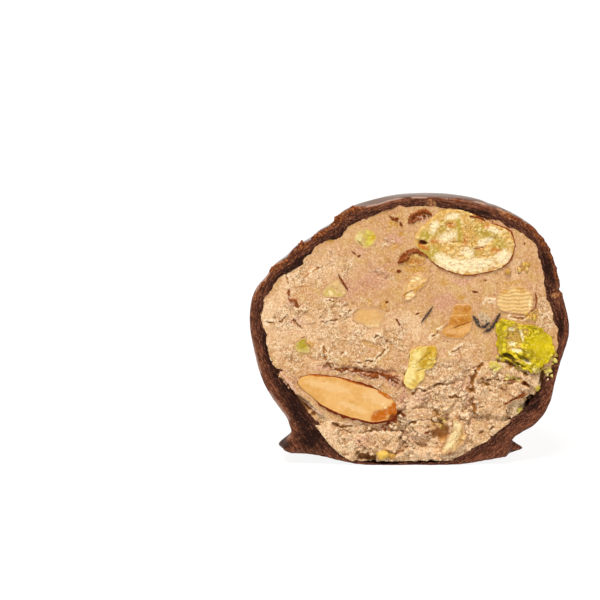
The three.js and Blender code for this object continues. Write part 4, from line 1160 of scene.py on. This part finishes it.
def makeFilling():
    cell, margin = filling["cell"], filling["margin"]
    nodeLow, nodeHigh = (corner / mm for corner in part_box("filling"))
    left, right = nodeLow.x - margin, nodeHigh.x + margin
    bottom, top = nodeLow.z - margin, nodeHigh.z + margin
    columns, rows = round((right - left) / cell), round((top - bottom) / cell)
    bm = bmesh.new()
    bmesh.ops.create_grid(bm, x_segments=columns, y_segments=rows, size=1)
    bmesh.ops.transform(bm, matrix=Matrix.Rotation(math.radians(90), 4, "X"), verts=bm.verts)
    for v in bm.verts:
        v.co = (blend(left, right, (v.co.x + 1) / 2), cutY, blend(bottom, top, (v.co.z + 1) / 2))
    outside = [f for f in bm.faces if insideShell(*f.calc_center_median().xz) < -filling["border"]]
    bmesh.ops.delete(bm, geom=outside, context="FACES")
    layers = {name: bm.verts.layers.float.new(name) for name in pasteShares}
    roomWide, roomHigh = filling["kernelRoom"]
    for v in bm.verts:
        x, z = v.co.x, v.co.z
        depth, low, high, deep, rough, tone = fillingRelief(x, z)
        for kernel in kernels:
            middle = kernel["middle"]
            if abs(x - middle.x) < roomWide and abs(z - middle.y) < roomHigh:
                share, _ = shareOf(kernel, x, z)
                if share < 1:
                    depth = blend(depth, max(depth, filling["socket"]), 1 - smooth(share, 0.8, 0.95))
        v[layers["paintedShadeShare"]] = clamp(low)
        v[layers["paintedHighlightShare"]] = clamp(high)
        v[layers["deepShadeAndBrownShare"]] = clamp(deep)
        v[layers["roughShare"]] = clamp(rough)
        v[layers["toneShare"]] = clamp(tone + 0.1 * (1 - smooth(x, -14, -2)))
        for name, spots in (("stainShare", "stains"), ("pinkShare", "pinks"), ("amberShare", "ambers"),
                            ("greyShare", "greys")):
            v[layers[name]] = most(filling[spots], x, z, soft=0.6, wander=0.7)
        v.co.y = cutY + depth
    # the body behind the face follows the hollow of the shell
    edge = [e for e in bm.edges if e.is_boundary]
    backDepth = nodeHigh.y - cutY - filling["backFrom"]
    quarter = filling["backRings"] + 0.5  # the last ring lies half a step before the end
    for step in range(1, filling["backRings"] + 1):
        angle = step / quarter * math.pi / 2
        made = bmesh.ops.extrude_edge_only(bm, edges=edge)
        edge = [g for g in made["geom"] if isinstance(g, bmesh.types.BMEdge)]
        ring = {v for e in edge for v in e.verts}
        shrink = math.cos(angle) / math.cos((step - 1) / quarter * math.pi / 2)
        for v in ring:
            v.co.x *= shrink
            v.co.z = shell["middle"] + (v.co.z - shell["middle"]) * shrink
            v.co.y = cutY + filling["backFrom"] + backDepth * math.sin(angle)
    bmesh.ops.holes_fill(bm, edges=edge, sides=0)
    bmesh.ops.recalc_face_normals(bm, faces=bm.faces)
    makePiece("nutFilling", bm, [paste], ["filling"])


makeFilling()


# How far the face lies behind the cut, kernels included.
def faceDepth(x, z):
    for kernel in kernels:
        if shareOf(kernel, x, z)[0] < 0.95:
            return -kernel["proud"]
    return fillingRelief(x, z)[0]


# The shares that the materials read on loose bits: tone picks one of a material's two colours.
def bitLayers(bm):
    return {name: bm.verts.layers.float.new(name) for name in (
        "toneShare", "patchShare", "crumbledShare", "paintedHighlightShare", "paintedShadeShare", "roughShare")}


# light paints a bit lit or shaded: a painted highlight on some bits, painted shade on others
def paintBit(verts, layers, tone, light):
    shares = {"toneShare": tone, "patchShare": tone, "crumbledShare": 0.5 + 0.5 * tone,
              "paintedHighlightShare": 0.7 * light * light, "paintedShadeShare": 0.6 * (1 - smooth(light, 0, 0.3)),
              "roughShare": 1.0}
    for v in verts:
        for name, value in shares.items():
            v[layers[name]] = value


plainCrumb = 0.14  # up to this size a crumb needs no finer facets


# A crumb: an icosphere dented by noise, turned at random and pressed into the face.
def addCrumb(bm, layers, rng, x, z, size, depth, flat, slope=None):
    steps = 2 if size > plainCrumb else 1
    made = bmesh.ops.create_icosphere(bm, subdivisions=steps, radius=1)["verts"]
    wide, tall, thick = size * rng.uniform(0.8, 1.4), size * rng.uniform(0.6, 1), size * flat
    turn = rng.uniform(0, math.tau) if slope is None else slope + rng.gauss(0, 0.3)
    sample = Vector((rng.random(), rng.random(), rng.random())) * 40
    c, s = math.cos(turn), math.sin(turn)
    for v in made:
        dented = 1 + 0.5 * noise.noise(v.co * 1.6 + sample)
        across, up = v.co.x * wide * dented, v.co.z * tall * dented
        v.co = (x + across * c - up * s, cutY + depth + v.co.y * thick * dented, z + across * s + up * c)
    paintBit(made, layers, rng.random(), rng.random())


# A strip of skin or a flake: a thin lens drawn along a line on the face, ragged and pointed.
def addStrip(bm, layers, rng, line, width, thick, rise):
    made = bmesh.ops.create_uvsphere(bm, u_segments=8, v_segments=8 * len(line), radius=1)["verts"]
    sample = rng.uniform(0, 40)
    for v in made:
        way = math.acos(clamp(v.co.z, -1, 1)) / math.pi
        around = math.atan2(v.co.y, v.co.x)
        place = way * (len(line) - 1)
        point = splineAt(line, place)
        ahead = splineAt(line, min(place + 0.05, len(line) - 1)) - splineAt(line, max(place - 0.05, 0))
        side = Vector((-ahead.y, ahead.x)).normalized()
        body = math.sin(math.pi * way) ** 0.6
        along = Vector((place * 2.4, sample, math.copysign(3, math.cos(around))))
        ragged = 1 + 0.9 * noise.noise(along) + 0.9 * noise.noise(along * 3.3)
        across = width / 2 * math.cos(around) * body * ragged
        x, z = point.x + side.x * across, point.y + side.y * across
        v.co = (x, cutY + faceDepth(point.x, point.y) - rise - thick * body * math.sin(around), z)
    paintBit(made, layers, rng.random(), rng.uniform(0.3, 0.8))


# Bits of one kind, joined in one mesh. Spots are [x, z, half width, half height, tilt, count].
def makeBits(name, kind, material):
    rng = random.Random(name)
    bm = bmesh.new()
    layers = bitLayers(bm)
    small, large = kind["sizes"]
    for sx, sz, halfWide, halfHigh, tilt, count in kind.get("spots", []):
        turn = math.radians(tilt)
        for _ in range(count):
            away, way = math.sqrt(rng.random()), rng.uniform(0, math.tau)
            across, up = halfWide * away * math.cos(way), halfHigh * away * math.sin(way)
            x = sx + across * math.cos(turn) - up * math.sin(turn)
            z = sz + across * math.sin(turn) + up * math.cos(turn)
            size = blend(small, large, rng.random() ** 2)
            addCrumb(bm, layers, rng, x, z, size, faceDepth(x, z) - 0.3 * size, kind.get("flat", 0.7))
    for line, width in kind.get("strips", []):
        addStrip(bm, layers, rng, line, width, kind.get("thick", 0.1), kind.get("rise", 0.06))
    for x, z, size, depth, slope in kind.get("placed", []):
        addCrumb(bm, layers, rng, x, z, size, depth, kind.get("flat", 0.7), slope)
    bmesh.ops.recalc_face_normals(bm, faces=bm.faces)
    makePiece(name, bm, [material])


# Crumbs of paste: thick over the part that broke, and strung along the lips of the torn plates.
def pasteCrumbPlaces(tries=5200, room=0.5):
    rng = random.Random("crumb places")
    placed = []
    for _ in range(tries):
        x, z = rng.uniform(-18, 18), rng.uniform(0.5, 32)
        if insideShell(x, z) < room or any(shareOf(k, x, z)[0] < 1.06 for k in kernels):
            continue
        depth, _, high, _, rough, _ = fillingRelief(x, z)
        torn = tornShare(x, z)
        clustered = smooth(lumps(x, z, 1.6, 6.0), -0.1, 0.3)
        if rng.random() < (0.8 * torn * rough * clustered + 0.4 * high * rough):
            size = blend(0.08, 0.36 if torn > 0.5 else 0.18, rng.random() ** 1.8)
            placed.append((x, z, size, depth - 0.25 * size, None))
    return placed


# Crumbs along the outer corner of the cut: [start, end, count, smallest, largest], in degrees round the
# middle of the section.
rimRuns = [(104, 160, 180, 0.06, 0.24), (30, 80, 60, 0.06, 0.2), (2, 30, 20, 0.06, 0.16)]


def rimCrumbPlaces():
    rng = random.Random("rim places")
    placed = []
    for start, end, count, small, large in rimRuns:
        for _ in range(count):
            degrees = rng.uniform(start, end)
            out = Vector((math.cos(math.radians(degrees)), math.sin(math.radians(degrees))))
            edge = out * reachIn(outerReaches, degrees) + Vector((0, shell["middle"]))
            x, z = edge + out * (stepsAt(edgeSteps, *edge) - 0.15 - rng.random() ** 2 * 0.7)
            size = blend(small, large, rng.random() ** 2)
            placed.append((x, z, size, rng.uniform(-0.05, 0.3), math.radians(degrees + 90)))
    return placed


makeBits("pasteCrumbs", {"sizes": (0.1, 0.3), "placed": pasteCrumbPlaces()}, paste)
makeBits("rimCrumbs", {
    "sizes": (0.1, 0.3), "flat": 0.6, "placed": rimCrumbPlaces(), "thick": 0.16, "rise": 0,
    "spots": [(10, 31.2, 1.4, 0.3, -25, 8)],
    "strips": [([(-7.9, 32.4), (-7.1, 33), (-6.3, 33)], 0.5),
               ([(-14, 27.6), (-13.7, 28.2), (-13.4, 28.9)], 0.7),
               ([(-9.6, 31.2), (-9.1, 31.9), (-8.3, 32.4)], 0.4),
               ([(-12.4, 29), (-11.8, 29.5), (-11.2, 29.8)], 0.35),
               ([(-17.6, 24.9), (-17, 25.5), (-16.3, 25.8)], 0.35),
               ([(11.4, 32.4), (12.6, 31.9), (13.8, 31.3)], 0.35)],
}, cutEdge)
makeBits("greenCrumbs", {
    "sizes": (0.12, 0.36),
    "spots": [(10.6, 12.9, 0.8, 0.5, -20, 14), (11.4, 14, 0.6, 0.4, 0, 10), (13.9, 7, 0.7, 0.6, 0, 14),
              (17.5, 11.8, 0.4, 0.9, 0, 10), (16.3, 12.4, 0.8, 0.6, 0, 18),
              (14.2, 12.5, 1.2, 0.3, -25, 14), (12.9, 11.6, 1, 0.4, -30, 8), (18, 13.8, 0.3, 0.8, 0, 8),
              (16.2, 9.6, 0.4, 0.8, 0, 6), (12.4, 11.2, 0.4, 0.2, 0, 4)],
    "strips": [([(9.9, 12.8), (10.7, 13.1), (11.6, 12.7)], 0.8),
               ([(12.7, 11.5), (13.3, 11.3), (13.8, 10.9)], 0.5)],
}, nutFlesh("pistachioCrumbs", {**greenLook, "flesh": "#bba21a", "second": "#c9b432", "patch": "#cdb265"}))
makeBits("skinPieces", {
    "sizes": (0.08, 0.24), "flat": 0.5, "thick": 0.12, "rise": 0.08,
    "spots": [(-5.4, 12, 3.2, 0.3, -8, 16), (-2.2, 11.2, 1.5, 0.4, -25, 12),
              (-4.4, 11.5, 0.6, 0.25, 0, 10), (-2.2, 4.9, 1.4, 0.35, 10, 10), (1.2, 32, 1.4, 0.5, 10, 14),
              (13.4, 8.8, 1.5, 0.3, 30, 8)],
    "strips": [
        ([(-9, 24.6), (-8.6, 23.85), (-8.1, 23.1), (-7.75, 22.45)], 0.24),
        ([(-15.1, 22.7), (-15.2, 22.2), (-15, 21.8)], 0.3),
        ([(-15.3, 21.6), (-14.9, 21.3), (-14.25, 21.2), (-14.25, 20.8), (-13.9, 20.4)], 0.32),
        ([(-11, 12.6), (-10.5, 13.05), (-9.75, 13.2), (-9.5, 12.7)], 0.16),
        ([(-9.6, 12.5), (-8.6, 12.2), (-7.9, 12.35)], 0.24),
        ([(-7.9, 12.35), (-6.75, 12.1), (-6, 12.2)], 0.18),
        ([(-6.4, 12.1), (-5.5, 11.6), (-4.75, 11.7)], 0.16),
        ([(-5, 11.3), (-4.4, 11.6), (-3.9, 11.3)], 0.55), ([(-1, 10.9), (-0.7, 10.4), (-0.5, 10)], 0.2),
        ([(-4.25, 12.2), (-3.6, 11.7), (-2.75, 11.6), (-1.9, 11.3), (-1.1, 10.9)], 0.2),
        ([(-2.2, 6.5), (-1.9, 6.1), (-1.6, 5.5)], 0.6), ([(-3.5, 4.7), (-2.75, 5.3), (-1.75, 5.5)], 0.24),
        ([(-1.5, 25.9), (-1, 26.8), (-0.1, 27.35), (0.75, 27.5), (1.6, 27.2), (2.5, 26.55)], 0.7),
        ([(-1.3, 26.1), (-0.7, 26.5), (0, 26.9)], 0.6),
        ([(-0.3, 31), (0.1, 32), (1.1, 32.55), (2.2, 32.5), (2.7, 31.9)], 0.45),
        ([(-0.2, 31), (0.6, 31.5), (1.5, 31.6)], 0.3),
        ([(-2.6, 31.9), (-2.1, 31.65), (-1.5, 31.25)], 0.26),
        ([(7.3, 32), (8.4, 31.8), (9.4, 31.3)], 0.35), ([(-1.8, 19), (-1.5, 18.6), (-1.25, 18)], 0.2),
        ([(15.6, 22.3), (15.8, 21.55), (15.7, 20.5), (15.1, 19.75)], 0.2),
        ([(12, 8), (12.9, 8.5), (13.9, 9), (15, 9.45)], 0.2),
        ([(-15.4, 10.7), (-14.8, 9.8), (-14, 8.7)], 0.16),
        ([(-13.4, 8.1), (-12.9, 7.6), (-12.2, 7.1)], 0.14)],
}, nutFlesh("nutSkin", {**chipLook, "flesh": "#5c1b04", "second": "#752d0a", "light": "#9c5222",
                        "shade": "#3a0f03", "patch": "#8c4212", "cloud": 0.6, "rag": 0.8, "bump": 0.1,
                        "grainDepth": 0.9, "sheen": 0.05}))
makeBits("almondSkinFlaps", {
    "sizes": (0.08, 0.2), "flat": 0.5, "thick": 0.1, "rise": 0.1,
    "spots": [(-14.6, 11.2, 0.7, 0.4, -20, 10), (-3.4, 4.9, 0.5, 0.3, 0, 8), (-5, 11.5, 3, 0.3, -9, 30),
              (-2, 10.5, 1.2, 0.35, -20, 20), (-0.7, 8.8, 0.4, 1.3, 0, 26), (-10.3, 12.6, 1, 0.3, 0, 10)],
    "strips": [([(-16.3, 12.2), (-15.6, 11.3), (-14.75, 10.2), (-14, 9.15)], 0.5),
               ([(-15.9, 11), (-15.1, 9.9), (-14.4, 8.9), (-13.1, 7.2)], 0.22),
               ([(-13.9, 8.7), (-12.9, 7.9), (-11.9, 7.1), (-10.5, 6.3)], 0.24),
               # the two strips beside the dark V are pale painted highlights on its lips, not skin
               ([(8.4, 19.2), (8.8, 18.6), (9.2, 18.2)], 0.16),
               ([(9.6, 17.8), (10.2, 18.5), (10.7, 19.3)], 0.14)],
}, nutFlesh("almondSkinInsideAndPaleHighlight", {**chipLook, "flesh": "#cc8e70", "second": "#bd9674", "light": "#ecc8b0",
                                 "shade": "#8a5634", "patch": "#c98a62", "sheen": 0.08}))
# Dark, glossy slivers along the dark line and V on the face: painted shadow of a fold and of gaps
makeBits("darkFlakes", {
    "sizes": (0.06, 0.12), "thick": 0.08, "rise": 0.12,
    "spots": [(9.4, 19, 0.8, 0.5, 0, 4), (4.2, 16, 0.6, 0.3, 0, 2)],
    "strips": [([(2.9, 20.55), (2.15, 19.4), (1.35, 18.3)], 0.24),
               ([(7.85, 19.3), (8.35, 18.6), (8.8, 17.8)], 0.46),
               ([(8.6, 17.85), (9.4, 17.95), (10.1, 18.5)], 0.34),
               ([(9.1, 17.1), (10, 17.6), (10.7, 18.6), (11.35, 19.7)], 0.4)],
}, nutFlesh("shadowSliverColour", {**chipLook, "sheen": 0.3, "flesh": "#241a16", "second": "#33241c",
                              "light": "#5a4638", "shade": "#120c0a", "patch": "#2a1e1a"}))
makeBits("amberBits", {
    "sizes": (0.14, 0.36),
    "spots": [(4.1, 5.3, 0.6, 0.9, 0, 14), (15.3, 19.3, 0.9, 0.5, 0, 8), (14.2, 25.4, 0.8, 0.5, 30, 8)],
    "placed": [(-3.3, 1.35, 1, -0.15, 0.1), (-2.1, 1.2, 0.6, -0.05, 0.2), (12.2, 24.9, 0.42, 0, 1.4)],
}, nutFlesh("amberCrumbs", {**chipLook, "flesh": "#cf9a35", "second": "#d9ac50", "patch": "#d3b43e"}))


# Floor, light and camera
view = {
    "elevation": 12, "distance": 520.8, "lens": 250, "aimX": -13.75, "aimZ": 21.3,
    "floor": 8000, "floorGlow": 0.9, "worldFront": 0.3, "worldBack": 0.74, "backColour": "#ffe2d0",
    "sun": 3.3, "sunElevation": 61, "sunAzimuth": -16, "sunSpread": 22,
}


# A light table: it glows white, so that the shadows on it stay faint.
def makeFloor():
    bm = bmesh.new()
    bmesh.ops.create_grid(bm, x_segments=1, y_segments=1, size=view["floor"] * mm)
    mesh = bpy.data.meshes.new("floor")
    bm.to_mesh(mesh)
    bm.free()
    floor = bpy.data.objects.new("floor", mesh)
    bpy.context.scene.collection.objects.link(floor)
    material, tree, _ = newMaterial("lightTable")
    mesh.materials.append(finished(material, tree, {
        "Base Color": "#666666", "Roughness": 0.7, "Specular IOR Level": 0.1,
        "Emission Color": (1, 1, 1, 1), "Emission Strength": view["floorGlow"]}))


# A broad overhead light, far enough away to light the whole table alike.
def addSoftbox():
    lamp = bpy.data.lights.new("softbox", "SUN")
    lamp.energy = view["sun"]
    lamp.angle = math.radians(view["sunSpread"])
    light = bpy.data.objects.new("softbox", lamp)
    bpy.context.scene.collection.objects.link(light)
    high, turn = math.radians(view["sunElevation"]), math.radians(view["sunAzimuth"])
    toLight = Vector((math.cos(high) * math.sin(turn), -math.cos(high) * math.cos(turn), math.sin(high)))
    light.rotation_euler = toLight.to_track_quat("Z", "Y").to_euler()


# White walls, dimmer behind the camera than behind the bonbon, where they are a little warm.
def makeWalls(world):
    world.use_nodes = True
    tree = world.node_tree
    background = tree.nodes["Background"]
    around = addNode(tree, "TexCoord", output="Generated")
    toBack = addNode(tree, "SeparateXYZ", {0: around}, output="Y")
    strength = addNode(tree, "MapRange", {"Value": toBack, "From Min": -0.4, "From Max": 0.6,
                                          "To Min": view["worldFront"], "To Max": view["worldBack"]})
    colour = laidOver(tree, "#ffffff", (toBack, -0.1, 0.5, 1, view["backColour"]))
    tree.links.new(strength, background.inputs["Strength"])
    tree.links.new(colour, background.inputs["Color"])


def makeStudio():
    scene = bpy.context.scene
    scene.world = bpy.data.worlds.new("whiteStudio")
    makeWalls(scene.world)
    scene.view_settings.view_transform = "Standard"
    addSoftbox()
    camera = bpy.data.cameras.new("camera")
    camera.lens = view["lens"]
    camera.clip_start = 0.01
    eye = bpy.data.objects.new("camera", camera)
    scene.collection.objects.link(eye)
    aim = Vector((view["aimX"], cutY, view["aimZ"])) * mm
    tilt = math.radians(view["elevation"])
    eye.location = aim + Vector((0, -math.cos(tilt), math.sin(tilt))) * view["distance"] * mm
    eye.rotation_euler = (aim - eye.location).to_track_quat("-Z", "Y").to_euler()
    scene.camera = eye


makeFloor()
makeStudio()
print("studio made")
